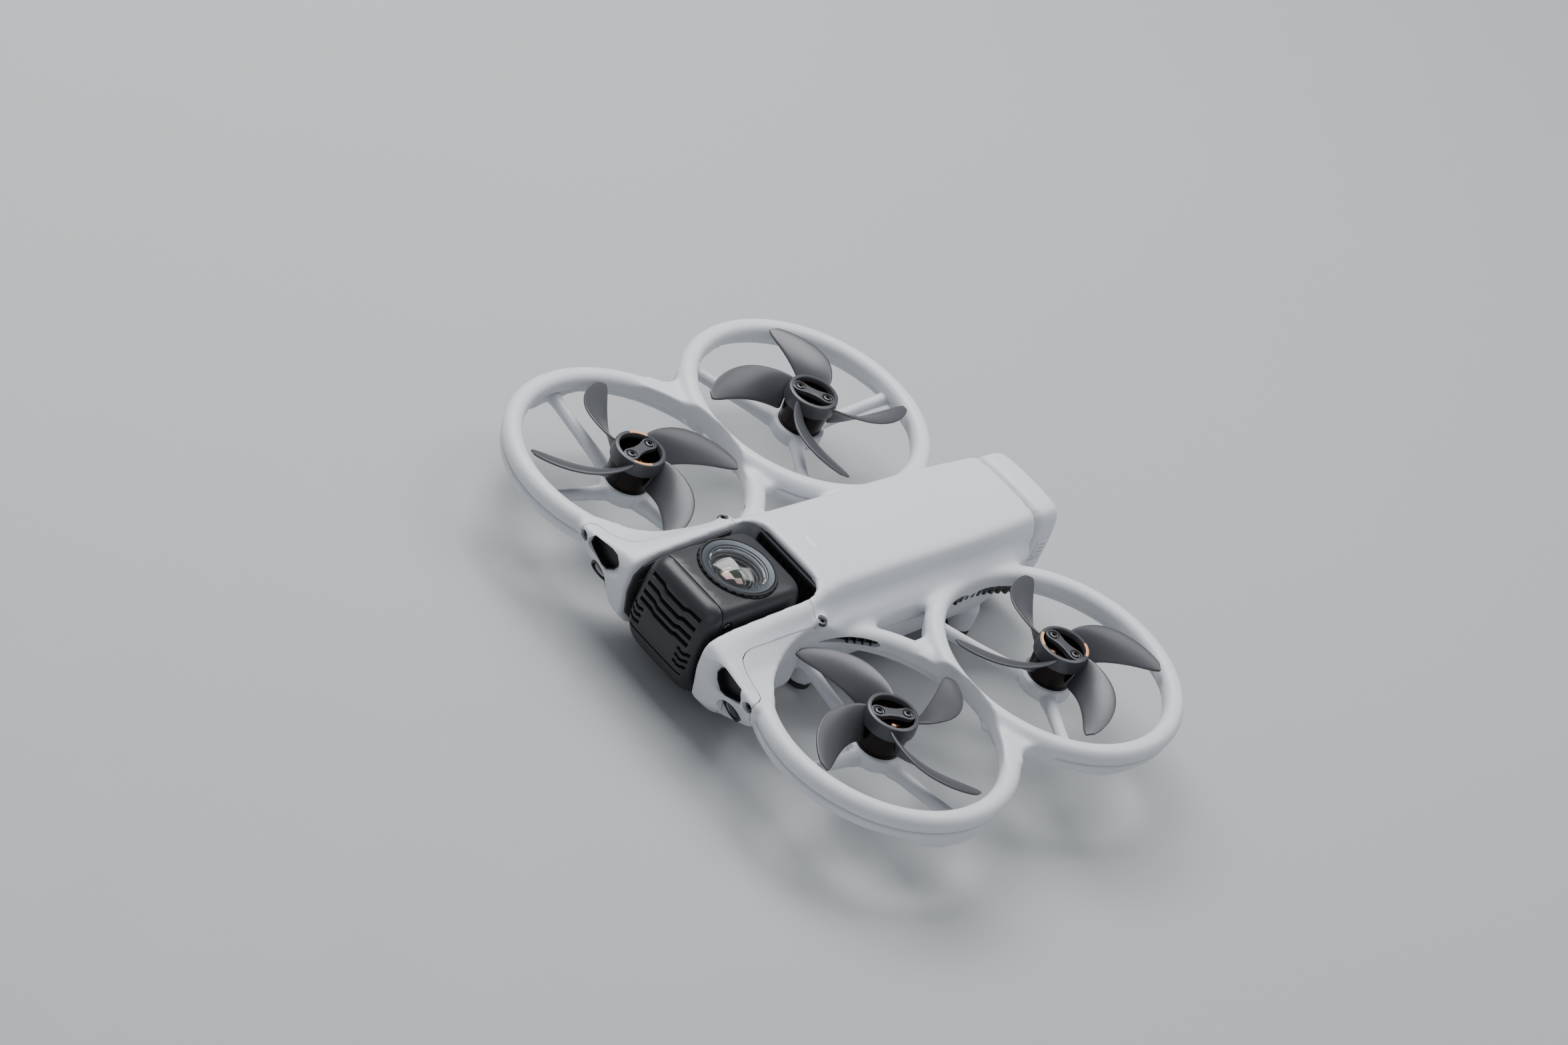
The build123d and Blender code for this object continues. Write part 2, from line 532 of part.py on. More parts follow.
def hub_screws(x, y, hub, hub_turn):
    out = None
    for a in (0, 180):
        head = disc(0, 0, hub - SCREW_HEAD_H, hub - SCREW_CLEAR, SCREW_HEAD_R)
        socket = Pos(0, 0, hub - SCREW_HEAD_H / 2) * extrude(RegularPolygon(HEX_R, 6), SCREW_HEAD_H)
        shank = disc(0, 0, hub - SCREW_HEAD_H - SCREW_L, hub - SCREW_HEAD_H, SCREW_R)
        one = Pos(x, y, 0) * Rot(0, 0, hub_turn + a) * Pos(SCREW_PITCH_R, 0, 0) * (head + shank - socket)
        out = one if out is None else out + one
    return out


def hub_marks(x, y, hub, hub_turn):
    """Two coloured arc inlays on the hub rim of the counter-clockwise props."""
    r = HUB_R - HUB_RIM / 2
    tube = Cylinder(r + MARK_W / 2, MARK_T) - Cylinder(r - MARK_W / 2, MARK_T)
    out = None
    for a in (90, 270):
        wedge = Polygon((0, 0), *[(2 * r * cos(radians(t)), 2 * r * sin(radians(t)))
                                  for t in (-MARK_ARC / 2, 0, MARK_ARC / 2)], align=None)
        arc = tube & extrude(wedge, MARK_T, both=True)
        arc = Pos(x, y, hub - MARK_T / 2) * Rot(0, 0, hub_turn + a) * arc
        out = arc if out is None else out + arc
    return out


# ---------------------------------------------------------------- inside the hull
def fan():
    half = FAN_R + FAN_CLEAR + FAN_WALL
    low = FAN_Z
    floor, high = low + FAN_FLOOR, low + FAN_T
    frame = Pos(0, FAN_Y, low + FAN_T / 2) * Box(2 * half, 2 * half, FAN_T)
    frame = frame - disc(0, FAN_Y, floor, high, FAN_R + FAN_CLEAR)
    frame = frame - disc(0, FAN_Y, low, floor, FAN_MOUTH_R) + disc(0, FAN_Y, low, floor, FAN_BOSS_R)
    for i in range(FAN_BARS):
        bar = block(0, FAN_R, -FAN_BAR_W / 2, FAN_BAR_W / 2, low, floor)
        frame = frame + Pos(0, FAN_Y, 0) * Rot(0, 0, FAN_BAR_TURN + i * 360 / FAN_BARS) * bar
    hub = disc(0, 0, floor + FAN_LIFT, high - FAN_SINK, FAN_HUB_R)
    for i in range(FAN_BLADES):
        vane = block(VANE_ROOT_R, FAN_R - VANE_CLEAR, -VANE_T / 2, VANE_T / 2,
                     floor + VANE_LIFT, high - VANE_SINK)
        hub = hub + Rot(0, 0, i * 360 / FAN_BLADES) * vane
    return frame, Pos(0, FAN_Y, 0) * hub


def heat_sink():
    half = BAY_W / 2 - SINK_SIDE
    face = BAY_BACK - SINK_PLATE
    plate = block(-half, half, face, BAY_BACK, SINK_LOW, SINK_HIGH)
    pitch = 2 * (half - SINK_EDGE) / (SINK_FINS - 1)
    for i in range(SINK_FINS):
        x = -half + SINK_EDGE + i * pitch
        plate = plate + block(x - SINK_FIN_T / 2, x + SINK_FIN_T / 2, face - SINK_RIB, face,
                              SINK_LOW + SINK_EDGE, SINK_HIGH - SINK_EDGE)
    return plate


def main():
    os.makedirs("parts", exist_ok=True)
    for key in CORNERS:
        save(guard_ring(key), "guard_ring_" + key)
        save(motor_mount(key), "motor_mount_" + key)
        x, y, hub, _, _, side = CORNERS[key]
        hand = 1 if key in ("front_right", "rear_left") else -1
        tip, turn = PROP_TURN[key], HUB_TURN[key]
        save(stator(x, y, hub), "motor_stator_" + key)
        save(bell(x, y, hub, turn), "motor_bell_" + key)
        disk = prop(x, y, hub, tip, turn, hand)
        if hand < 0:
            marks = hub_marks(x, y, hub, turn)
            disk = disk - marks
            save(marks, "prop_marks_" + key)
        save(disk, "propeller_" + key)
        save(hub_screws(x, y, hub, turn), "hub_screws_" + key)
    upper, lower, glass = hull()
    save(upper, "hull_upper")
    save(lower, "hull_lower")
    save(glass, "belly_sensor_window")
    save(light_slot(), "status_light")
    arm = front_arm()
    save(arm, "front_arm_right")
    save(flip(arm), "front_arm_left")
    eye = sensor_glass()
    save(eye + flip(eye), "vision_sensors")
    screw = bumper_screw()
    save(screw + flip(screw), "frame_screws")
    web = gusset()
    save(web, "side_gusset_right")
    save(flip(web), "side_gusset_left")
    for name, piece in camera().items():
        save(piece, name)
    pack = battery()
    save(pack, "battery")
    save(latch_key(1), "battery_latch_right")
    save(latch_key(-1), "battery_latch_left")
    tail = HULL_TAIL + SEAM + CAP_L
    save(rod_y(tail - BUTTON_T, tail + BUTTON_PROUD, 0, BUTTON_Z, BUTTON_R), "power_button")
    frame, rotor = fan()
    save(frame, "fan_frame")
    save(rotor, "fan_rotor")
    save(Pos(0, BOARD_Y, BOARD_Z) * Box(BOARD_W, BOARD_L, BOARD_T), "main_board")
    save(heat_sink(), "heat_sink")
    pads = None
    for fx, fy in (FOOT_FRONT, FOOT_REAR):
        for side in (1, -1):
            pad = disc(side * fx, fy, 0, FOOT_PAD_T, FOOT_R)
            pads = pad if pads is None else pads + pad
    save(pads, "foot_pads")


if __name__ == "__main__":
    main()
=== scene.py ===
"""Looks of a ducted camera drone. Every piece is shaped on a bench in millimetres and settled in
metres around the fixed frame: nose towards -Y, Z up, standing on its four feet."""
from contextlib import contextmanager
from math import cos, pi, radians, sin, sqrt

import bmesh
import bpy
from mathutils import Matrix, Vector


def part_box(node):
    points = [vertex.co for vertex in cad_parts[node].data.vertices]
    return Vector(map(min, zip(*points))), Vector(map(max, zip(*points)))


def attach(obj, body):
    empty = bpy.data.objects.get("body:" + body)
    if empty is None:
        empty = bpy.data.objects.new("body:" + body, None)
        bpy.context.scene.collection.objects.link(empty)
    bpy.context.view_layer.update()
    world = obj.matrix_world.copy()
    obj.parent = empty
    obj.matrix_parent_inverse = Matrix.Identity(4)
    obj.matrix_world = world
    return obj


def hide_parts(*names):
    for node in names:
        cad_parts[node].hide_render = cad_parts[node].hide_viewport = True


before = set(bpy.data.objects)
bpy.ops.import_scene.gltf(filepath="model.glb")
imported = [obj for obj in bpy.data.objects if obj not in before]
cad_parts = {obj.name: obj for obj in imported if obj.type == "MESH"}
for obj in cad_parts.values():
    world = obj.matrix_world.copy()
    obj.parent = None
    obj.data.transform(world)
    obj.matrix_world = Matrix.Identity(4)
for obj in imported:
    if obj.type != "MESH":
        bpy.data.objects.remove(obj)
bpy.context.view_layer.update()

BENCH = 1000.0                  # bench units in a metre
FULL = 2 * pi
FAR = 300.0                     # past every piece, along X or Y
UNDER, OVER = -20.0, 90.0       # below and above every piece

# ------------------------ sizes on the bench
TUBE_W, TUBE_H = 7.5, 6.6       # guard tube
SKIRT_INSET, SKIRT_W, SKIRT_H = 1.4, 2.6, 4.0
SEAM = 0.3
FINE, BELLY_FINE, SEAT_FINE, COARSE = 0.85, 0.75, 0.55, 1.9     # voxels of the mouldings and the fillets
SADDLE_R = 7.4                  # outer fillet where two guards meet
BAY_BACK, BAY_LIP_BACK, BAY_LIP_Z, BAY_CORNER = -32.0, -36.5, 48.4, 8.5
NOSE_SEAM = -45.1
COVER_STEP = 0.37               # two cover cutters at one level leave the shell empty
HULL_SPLIT = 28.0
TAIL_OVERRUN, TAIL_HALF = 2.5, 24.0     # both hulls run past the tail and are cut flat there
FOOT_X, FOOT_YS, FOOT_R, FOOT_ROOT = 19.0, (-24.0, 62.0), 4.6, 12.0
BUMPER_SCREW_X, BUMPER_SCREW_Z = 46.2, 33.4
HUB_SCREW_R = 5.56              # hub screws, out from the shaft
MARK_SINK = 0.06                # the marks sit this far into the hub rim
CUP_DROP = 22.0                 # from the hub's top to the motor seat's floor
LOUVRE_DROP = 3.6               # from a guard's crest to the middle of its louvres
LAMP_XS, LAMP_DROP = (-6, -2, 2, 6), 8  # charge lamps across the tail, below the power key
PROP_TURN = {"front_right": 13.0, "rear_right": 61.0, "front_left": 67.0, "rear_left": 69.0}
HUB_TURN = {"front_right": 62.0, "rear_right": 5.0, "front_left": 102.0, "rear_left": 35.0}
SPOKES = {True: (0.0, -88.0, 180.0), False: (92.0, -36.0, -140.0)}


def polar(r, azimuth):
    return r * cos(radians(azimuth)), r * sin(radians(azimuth))


def bench_box(node):
    low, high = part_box(node)
    return low * BENCH, high * BENCH


class Corner:
    """One rotor corner, read from the frame."""

    def __init__(self, key):
        bell_low, bell_high = bench_box("motor_bell_" + key)
        ring_low, ring_high = bench_box("guard_ring_" + key)
        self.key, self.body = key, "rotor_" + key
        self.x, self.y = (bell_low.x + bell_high.x) / 2, (bell_low.y + bell_high.y) / 2
        self.side = 1 if self.x > 0 else -1
        self.front = self.y < 0
        self.hub, self.crest = bench_box("propeller_" + key)[1].z, ring_high.z
        self.outer = max(abs(ring_high.x), abs(ring_low.x)) - abs(self.x)
        self.hand = 1 if self.side * (1 if self.front else -1) > 0 else -1

    def at(self, r, azimuth, z):
        """A point given by radius and azimuth about the motor; azimuth 0 looks outboard."""
        a = radians(azimuth)
        return Vector((self.x + self.side * r * cos(a), self.y + r * sin(a), z))


KEYS = ("front_right", "front_left", "rear_right", "rear_left")
corners = {key: Corner(key) for key in KEYS}
RING_OUT = corners["front_right"].outer
RING_IN = RING_OUT - TUBE_W
BAY_HALF = bench_box("front_arm_right")[0].x


# ------------------------ bench tools
def only(*objects):
    """Select these objects alone; the first is the active one."""
    bpy.ops.object.select_all(action="DESELECT")
    for obj in objects:
        obj.select_set(True)
    bpy.context.view_layer.objects.active = objects[0]


@contextmanager
def edit(obj):
    only(obj)
    bpy.ops.object.mode_set(mode="EDIT")
    bpy.ops.mesh.select_all(action="SELECT")
    yield
    bpy.ops.object.mode_set(mode="OBJECT")


def freeze(obj):
    """Apply the object's own place, turn and scale to its mesh."""
    only(obj)
    bpy.ops.object.transform_apply(location=True, rotation=True, scale=True)
    return obj


def face_out(obj):
    with edit(obj):
        bpy.ops.mesh.remove_doubles(threshold=1e-4)
        bpy.ops.mesh.normals_make_consistent(inside=False)
    return obj


def primitive(kind, **sizes):
    bpy.ops.object.select_all(action="DESELECT")
    getattr(bpy.ops.mesh, f"primitive_{kind}_add")(**sizes)
    return freeze(bpy.context.object)


def modify(obj, kind, **settings):
    only(obj)
    modifier = obj.modifiers.new(kind, kind)
    for key, value in settings.items():
        setattr(modifier, key, value)
    bpy.ops.object.modifier_apply(modifier=modifier.name)
    return obj


def join(*objects):
    only(*objects)
    if len(objects) > 1:
        bpy.ops.object.join()
    return bpy.context.object


def carve(obj, *cutters, how="DIFFERENCE"):
    """Cut with closed forms that don't overlap each other."""
    cutter = join(*cutters)
    modify(obj, "BOOLEAN", operation=how, solver="EXACT", object=cutter)
    bpy.data.objects.remove(cutter)
    return obj


def soften(obj, width, segments=2, angle=30):
    return modify(obj, "BEVEL", width=width, segments=segments, limit_method="ANGLE",
                  angle_limit=radians(angle), harden_normals=False)


def move(obj, x=0.0, y=0.0, z=0.0, turn=0.0, about="Z"):
    """Turn about an axis through the bench origin, then shift, and apply both."""
    obj.matrix_world = Matrix.Translation((x, y, z)) @ Matrix.Rotation(radians(turn), 4, about)
    return freeze(obj)


def mirror(obj, axis):
    """Mirror across the plane through the bench origin that this axis stands on."""
    obj.scale[axis] = -1
    return face_out(freeze(obj))


def twin(obj, flip=False, **moves):
    """A copy with its own mesh, mirrored across the centre plane if flip is set."""
    only(obj)
    bpy.ops.object.duplicate()
    other = bpy.context.object
    if flip:
        mirror(other, 0)
    return move(other, **moves)


def box(x0, x1, y0, y1, z0, z1):
    return primitive("cube", size=1, location=((x0 + x1) / 2, (y0 + y1) / 2, (z0 + z1) / 2),
                     scale=(abs(x1 - x0), abs(y1 - y0), abs(z1 - z0)))


def plug(x, y, z0, z1, r, steps=96):
    return primitive("cylinder", vertices=steps, radius=r, depth=z1 - z0, location=(x, y, (z0 + z1) / 2))


def rod(start, end, r, steps=24):
    """A round bar between two points."""
    start, end = Vector(start), Vector(end)
    turn = (end - start).to_track_quat("Z", "Y").to_euler()
    return primitive("cylinder", vertices=steps, radius=r, depth=(end - start).length,
                     location=(start + end) / 2, rotation=turn)


def loft(*sections):
    """A filled outline pushed out from section to section; all have the same number of corners."""
    obj = primitive("circle", vertices=len(sections[0]), fill_type="NGON")
    with edit(obj):
        form = bmesh.from_edit_mesh(obj.data)
        for vert, point in zip(form.faces[:][0].verts, sections[0]):
            vert.co = point
        bmesh.update_edit_mesh(obj.data)
        for last, section in zip(sections, sections[1:]):
            bpy.ops.mesh.extrude_region_move()
            form = bmesh.from_edit_mesh(obj.data)
            face = next(f for f in form.faces if f.select)
            places = {}
            for vert in face.verts:
                nearest = min(range(len(last)), key=lambda i: (Vector(last[i]) - vert.co).length)
                places[vert] = section[nearest]
            for vert, point in places.items():
                vert.co = point
            bmesh.update_edit_mesh(obj.data)
        bpy.ops.mesh.select_all(action="SELECT")
        bpy.ops.mesh.normals_make_consistent(inside=False)
    return obj


def prism(outline, z0, z1):
    """A plan outline raised from z0 to z1."""
    return loft([(x, y, z0) for x, y in outline], [(x, y, z1) for x, y in outline])


def lathe(outline, x=0.0, y=0.0, steps=128, arc=FULL, start=0.0):
    """A closed (radius, height) outline spun about the vertical axis at x, y."""
    whole = arc == FULL
    obj = primitive("circle", vertices=len(outline), fill_type="NOTHING" if whole else "NGON")
    with edit(obj):
        form = bmesh.from_edit_mesh(obj.data)
        form.verts.ensure_lookup_table()
        for vert, (r, z) in zip(form.verts, outline):
            vert.co = (r, 0, z)
        bmesh.update_edit_mesh(obj.data)
        bpy.ops.mesh.spin(steps=steps, angle=arc, center=(0, 0, 0), axis=(0, 0, 1))
    face_out(obj)
    return move(obj, x, y, 0, turn=start)


def settle(obj, name, body, finish, replaces=(), smooth=30):
    """The finished piece, brought from the bench to its place in metres."""
    obj.name = obj.data.name = name
    obj.scale = (1 / BENCH,) * 3
    freeze(obj)
    bpy.ops.object.shade_smooth_by_angle(angle=radians(smooth))
    obj.data.materials.clear()
    obj.data.materials.append(FINISH[finish])
    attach(obj, body)
    if replaces:
        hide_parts(*replaces)
    return obj


# ------------------------ finishes
class Port:
    """One output in a finish. Sums on it add their Math nodes."""

    def __init__(self, finish, socket):
        self.finish, self.socket = finish, socket

    def sum(self, how, a, b):
        return self.finish.node("Math", {"operation": how}, {0: a, 1: b})

    def __getitem__(self, output):
        return Port(self.finish, self.socket.node.outputs[output])

    def __add__(self, other):
        return self.sum("ADD", self, other)

    def __rsub__(self, other):
        return self.sum("SUBTRACT", other, self)

    def __mul__(self, other):
        return self.sum("MULTIPLY", self, other)

    def __lt__(self, other):
        return self.sum("LESS_THAN", self, other)

    __radd__ = __add__
    __rmul__ = __mul__


class Finish:
    """A Principled finish; constants sit on the shader's own sockets."""

    def __init__(self, name, **constants):
        self.material = bpy.data.materials.new(name)
        self.material.use_nodes = True
        self.tree = self.material.node_tree
        self.shader = self.tree.nodes["Principled BSDF"]
        for socket, value in constants.items():
            self.shader.inputs[socket.replace("_", " ")].default_value = value

    def node(self, kind, settings=None, inputs=None):
        made = self.tree.nodes.new("ShaderNode" + kind)
        for key, value in (settings or {}).items():
            if key == "stops":
                while len(made.color_ramp.elements) < len(value):
                    made.color_ramp.elements.new(1.0)
                for stop, (place, colour) in zip(made.color_ramp.elements, value):
                    stop.position, stop.color = place, (*colour, 1.0)
            else:
                setattr(made, key, value)
        for socket, value in (inputs or {}).items():
            self.feed(made.inputs[socket], value)
        return Port(self, made.outputs[0])

    def feed(self, socket, value):
        if isinstance(value, Port):
            self.tree.links.new(value.socket, socket)
        else:
            socket.default_value = value

    def place(self):
        return self.node("TexCoord")["Object"]

    def noise(self, scale, detail=2.0, roughness=0.5):
        return self.node("TexNoise", {}, {"Vector": self.place(), "Scale": scale, "Detail": detail,
                                          "Roughness": roughness})["Fac"]

    def mix(self, amount, one, other):
        both = self.node("Mix", {"data_type": "RGBA"}, {0: amount})
        for index, colour in ((6, one), (7, other)):
            self.feed(both.socket.node.inputs[index], colour if isinstance(colour, Port) else (*colour, 1.0))
        return Port(self, both.socket.node.outputs[2])

    def colour(self, value):
        self.feed(self.shader.inputs["Base Color"], value)

    def rough(self, value):
        self.feed(self.shader.inputs["Roughness"], value)

    def bump(self, height, depth, strength=1.0):
        """Depth is in metres."""
        bumped = self.node("Bump", {}, {"Height": height, "Distance": depth, "Strength": strength})
        self.feed(self.shader.inputs["Normal"], bumped)


def moulded(name, dark, light, rough, grain=4200.0, depth=2e-5, **constants):
    """Moulded plastic or paint: a fine spark-eroded grain, faint flow clouds, uneven gloss."""
    finish = Finish(name, **constants)
    clouds = finish.noise(18.0, 3.0)
    specks = finish.noise(grain, 1.0)
    finish.colour(finish.mix(clouds * 0.7 + specks * 0.3, dark, light))
    finish.rough(specks * 0.12 + clouds * 0.06 + (rough - 0.09))
    finish.bump(specks, depth)
    return finish


def brushed(name, dark, light, rough, **constants):
    """Turned metal with fine rings of tool marks and small scratches."""
    finish = Finish(name, Metallic=1.0, **constants)
    marks = finish.node("TexWave", {"wave_type": "BANDS", "bands_direction": "Z"},
                        {"Vector": finish.place(), "Scale": 900.0, "Distortion": 1.5, "Detail": 2.0})["Fac"]
    scratches = finish.noise(2600.0, 3.0)
    finish.colour(finish.mix(scratches, dark, light))
    finish.rough(marks * 0.10 + scratches * 0.12 + (rough - 0.1))
    finish.bump(marks, 4e-6)
    return finish


def make_finishes():
    made = {}
    made["shell"] = moulded("Cool_grey_shell", (0.66, 0.68, 0.715), (0.72, 0.74, 0.775), 0.42)
    made["cup"] = moulded("Cool_grey_motor_seat", (0.58, 0.60, 0.635), (0.64, 0.66, 0.695), 0.46)
    made["prop"] = moulded("Smoke_grey_blade", (0.062, 0.063, 0.071), (0.085, 0.087, 0.096), 0.36,
                           grain=3600.0, depth=2.5e-5, Metallic=0.25)
    made["graphite"] = moulded("Graphite_camera_case", (0.019, 0.0195, 0.023), (0.028, 0.029, 0.034), 0.40,
                               depth=1.6e-5)
    made["liner"] = moulded("Dark_bay_liner", (0.045, 0.047, 0.052), (0.06, 0.062, 0.068), 0.5)
    made["black"] = moulded("Black_trim", (0.008, 0.008, 0.009), (0.014, 0.014, 0.016), 0.4)
    made["bell"] = brushed("Black_turned_bell", (0.02, 0.017, 0.016), (0.035, 0.03, 0.028), 0.32)
    made["screw"] = brushed("Blackened_screw", (0.06, 0.06, 0.065), (0.11, 0.11, 0.115), 0.35)
    made["steel"] = brushed("Ground_steel", (0.45, 0.45, 0.46), (0.62, 0.62, 0.63), 0.3)
    made["sink"] = brushed("Black_anodised_fins", (0.10, 0.10, 0.105), (0.16, 0.16, 0.17), 0.5)
    made["ring"] = brushed("Slate_lens_ring", (0.09, 0.102, 0.114), (0.13, 0.145, 0.16), 0.38)
    made["mark"] = moulded("Peach_mark", (0.85, 0.36, 0.13), (0.92, 0.42, 0.17), 0.45)
    made["rubber"] = moulded("Foot_rubber", (0.02, 0.02, 0.022), (0.04, 0.04, 0.043), 0.75, depth=4e-5)
    made["light"] = moulded("Frosted_light_bar", (0.78, 0.80, 0.83), (0.86, 0.88, 0.9), 0.3,
                            Subsurface_Weight=0.3, Emission_Color=(1.0, 1.0, 1.0, 1.0), Emission_Strength=0.3)
    made["battery"] = moulded("Cool_grey_battery", (0.67, 0.69, 0.725), (0.73, 0.75, 0.785), 0.42)
    made["cell"] = moulded("Dark_battery_case", (0.035, 0.036, 0.04), (0.05, 0.052, 0.057), 0.55)
    made["wire"] = winding_finish()
    made["board"] = board_finish()
    made["window"] = Finish("Smoked_window", Coat_Weight=1.0, Coat_Roughness=0.03)
    window = made["window"]
    window.colour(window.mix(window.noise(60.0), (0.004, 0.004, 0.005), (0.009, 0.009, 0.011)))
    window.rough(window.noise(400.0) * 0.05 + 0.06)
    made["lens"] = lens_finish()
    made["glass"] = Finish("Lens_dome_glass", Transmission_Weight=1.0, IOR=1.12, Coat_Weight=0.7,
                           Coat_Roughness=0.01)
    glass = made["glass"]
    glass.rough(glass.noise(900.0) * 0.015)
    glass.colour(glass.mix(glass.noise(40.0), (0.97, 0.99, 1.0), (1.0, 1.0, 1.0)))
    return {key: finish.material for key, finish in made.items()}


def winding_finish():
    """Enamelled copper wire: tight turns and a warm varnish."""
    finish = Finish("Copper_winding", Metallic=1.0, Coat_Weight=0.5)
    turns = finish.node("TexWave", {"wave_type": "BANDS", "bands_direction": "Z"},
                        {"Vector": finish.place(), "Scale": 520.0, "Distortion": 0.6})["Fac"]
    finish.colour(finish.mix(turns, (0.36, 0.11, 0.035), (0.85, 0.36, 0.15)))
    finish.rough(0.36 - turns * 0.12)
    finish.bump(turns, 1.5e-4)
    return finish


def board_finish():
    """Solder mask with traces and tinned pads."""
    finish = Finish("Solder_mask")
    cells = finish.node("TexVoronoi", {"distance": "MANHATTAN"},
                        {"Vector": finish.place(), "Scale": 420.0})["Distance"]
    pads = cells < 0.22
    finish.colour(finish.mix(pads, (0.01, 0.06, 0.03), (0.5, 0.42, 0.25)))
    finish.rough(0.5 - pads * 0.2)
    finish.bump(cells, 1e-4)
    return finish


def lens_finish():
    """Coated lens: dark glass whose thin film tints what it mirrors."""
    finish = Finish("Coated_lens", Thin_Film_Thickness=520.0, Coat_Weight=1.0, Coat_Roughness=0.02)
    haze = finish.noise(120.0)
    finish.colour(finish.mix(haze, (0.004, 0.005, 0.004), (0.03, 0.035, 0.025)))
    finish.rough(haze * 0.04 + 0.03)
    return finish


FINISH = make_finishes()


# ------------------------ moulded frame
def guard_tube(c):
    """The rounded tube of one guard, tall inside and falling away outside."""
    r0, r1, z = RING_IN, RING_OUT, c.crest
    outline = [(r0, z - TUBE_H), (r0, z - 3.4), (r0 + 0.7, z - 1.5), (r0 + 2.1, z - 0.35),
               (r0 + TUBE_W / 2, z),
               (r1 - 2.1, z - 0.4), (r1 - 0.7, z - 1.6), (r1, z - 3.6), (r1 - 0.3, z - 5.3),
               (r1 - 1.1, z - TUBE_H)]
    return lathe(outline, c.x, c.y, steps=144)


def crown(y, top, shoulder, foot):
    """Cross-section of the upper fuselage: flat crown, soft shoulder, flank that flares at its foot."""
    low = HULL_SPLIT + SEAM
    right = [(0, top), (shoulder * 0.6, top - 0.2), (shoulder, top - 0.9), (shoulder + 2.0, top - 2.3),
             (shoulder + 3.4, top - 5.0), (shoulder + 5.0, top - 9.0), (foot - 2.0, 39.5), (foot, 36.5),
             (foot, low)]
    return [(x, y, z) for x, z in right] + [(-x, y, z) for x, z in reversed(right[1:])]


def fuselage_top(tail):
    return loft(crown(NOSE_SEAM, 49.1, 22.0, 32.0), crown(-36, 51.4, 19.5, 31.0),
                crown(-27, 52.1, 18.5, 30.0),
                crown(0, 52.4, 18.0, 29.0), crown(40, 52.3, 17.6, 28.5), crown(60, 52.1, 17.0, 28.0),
                crown(70, 52.0, 16.4, 25.5), crown(tail, 51.9, 15.6, 21.6))


def belly(y, half, low):
    right = [(half, HULL_SPLIT - SEAM), (half - 0.5, 22), (half - 3, low + 6), (half - 7, low + 1.6),
             (half - 11, low), (0, low)]
    return [(x, y, z) for x, z in right] + [(-x, y, z) for x, z in reversed(right[:-1])]


def nose_slice(x, tops, front, low_back, low_mid):
    """Side outline of a nose arm at one distance from the centre plane."""
    backs = (NOSE_SEAM + SEAM, -65, -81, -88, -92)
    return ([(x, backs[0], low_back)] + [(x, y, z) for y, z in zip(backs, tops)] +
            [(x, y, z) for y, z in front] + [(x, -70, low_mid), (x, -57, low_back)])


# distance out, tops over the back stations, front edge, underside at its back and in its middle
NOSE_ARM = (
    (20.5, (49.0, 47.0, 45.3, 43.8, 42.0), ((-93.5, 38.5), (-92.6, 30), (-88.3, 16.2), (-81, 9.8)), 14.5,
     10.8),
    (24.0, (47.3, 46.2, 44.8, 43.4, 41.8), ((-93.5, 38.3), (-92.5, 30), (-88.0, 16.3), (-80.8, 9.9)), 14.5,
     11.0),
    (27.0, (43.8, 43.6, 43.3, 42.7, 41.4), ((-93.5, 38.0), (-92.4, 30), (-87.6, 16.5), (-80.5, 10.2)), 14.5,
     11.2),
    (30.5, (41.0, 41.0, 41.2, 41.2, 40.6), ((-93.2, 37.5), (-91.8, 30), (-86.2, 17.5), (-79.5, 12.0)), 14.5,
     12.5),
    (36.0, (37.0, 37.0, 38.0, 39.2, 39.4), ((-92.8, 36.5), (-91.0, 31), (-84.6, 19.5), (-78.5, 13.5)), 15.5,
     14.0),
    (43.0, (36.4, 36.4, 36.4, 37.0, 37.6), ((-92.4, 35.5), (-90.8, 31), (-85.5, 23.0), (-80.0, 17.5)), 20.0,
     18.0),
    (49.5, (36.2, 36.2, 36.2, 36.4, 36.4), ((-91.2, 34.5), (-90.0, 31), (-88.0, 27.5), (-84.0, 25.0)), 26.0,
     25.0))


def nose_arm_blank():
    """Rail beside the camera bay and the bumper it ends in, on the right."""
    return loft(*[nose_slice(*row) for row in NOSE_ARM])


def saddle_web():
    """Fills between the two guards of the right side; its outer edge is one concave arc."""
    c = corners["front_right"]
    low, top = c.crest - TUBE_H, c.crest - 0.3
    web = box(c.x + 9, c.x + 38, -15, 15, low, top)
    reach = sqrt((RING_OUT + SADDLE_R) ** 2 - c.y ** 2)
    carve(web, plug(c.x + reach, 0, 0, 80, SADDLE_R))
    outside = box(c.x + reach - 2.6, c.x + 60, -20, 20, 0, 80)
    return carve(web, outside)


def pocket_web():
    """Thickens the corner of the pocket between flank and guards."""
    c = corners["front_right"]
    return prism([(c.x - 29.5, -2.5), (c.x - 20, -10), (c.x - 12, 0), (c.x - 20, 10), (c.x - 29.5, 3.5)],
                 c.crest - TUBE_H, c.crest - 1.2)


def bores():
    return [plug(c.x, c.y, UNDER, OVER, RING_IN, steps=160) for c in corners.values()]


def bay_mouth():
    """The open top of the camera bay, with rounded back corners."""
    x, y = BAY_HALF - BAY_CORNER, BAY_LIP_BACK - BAY_CORNER
    arc = [(x + BAY_CORNER * cos(radians(a)), y + BAY_CORNER * sin(radians(a))) for a in range(0, 91, 15)]
    outline = [(BAY_HALF, -FAR)] + arc + [(-x, y) for x, y in reversed(arc)] + [(-BAY_HALF, -FAR)]
    return prism(outline, UNDER, OVER)


def smooth(obj, times, factor=0.5):
    return modify(obj, "SMOOTH", iterations=times, factor=factor)


def remesh(obj, voxel):
    modify(obj, "REMESH", mode="VOXEL", voxel_size=voxel)


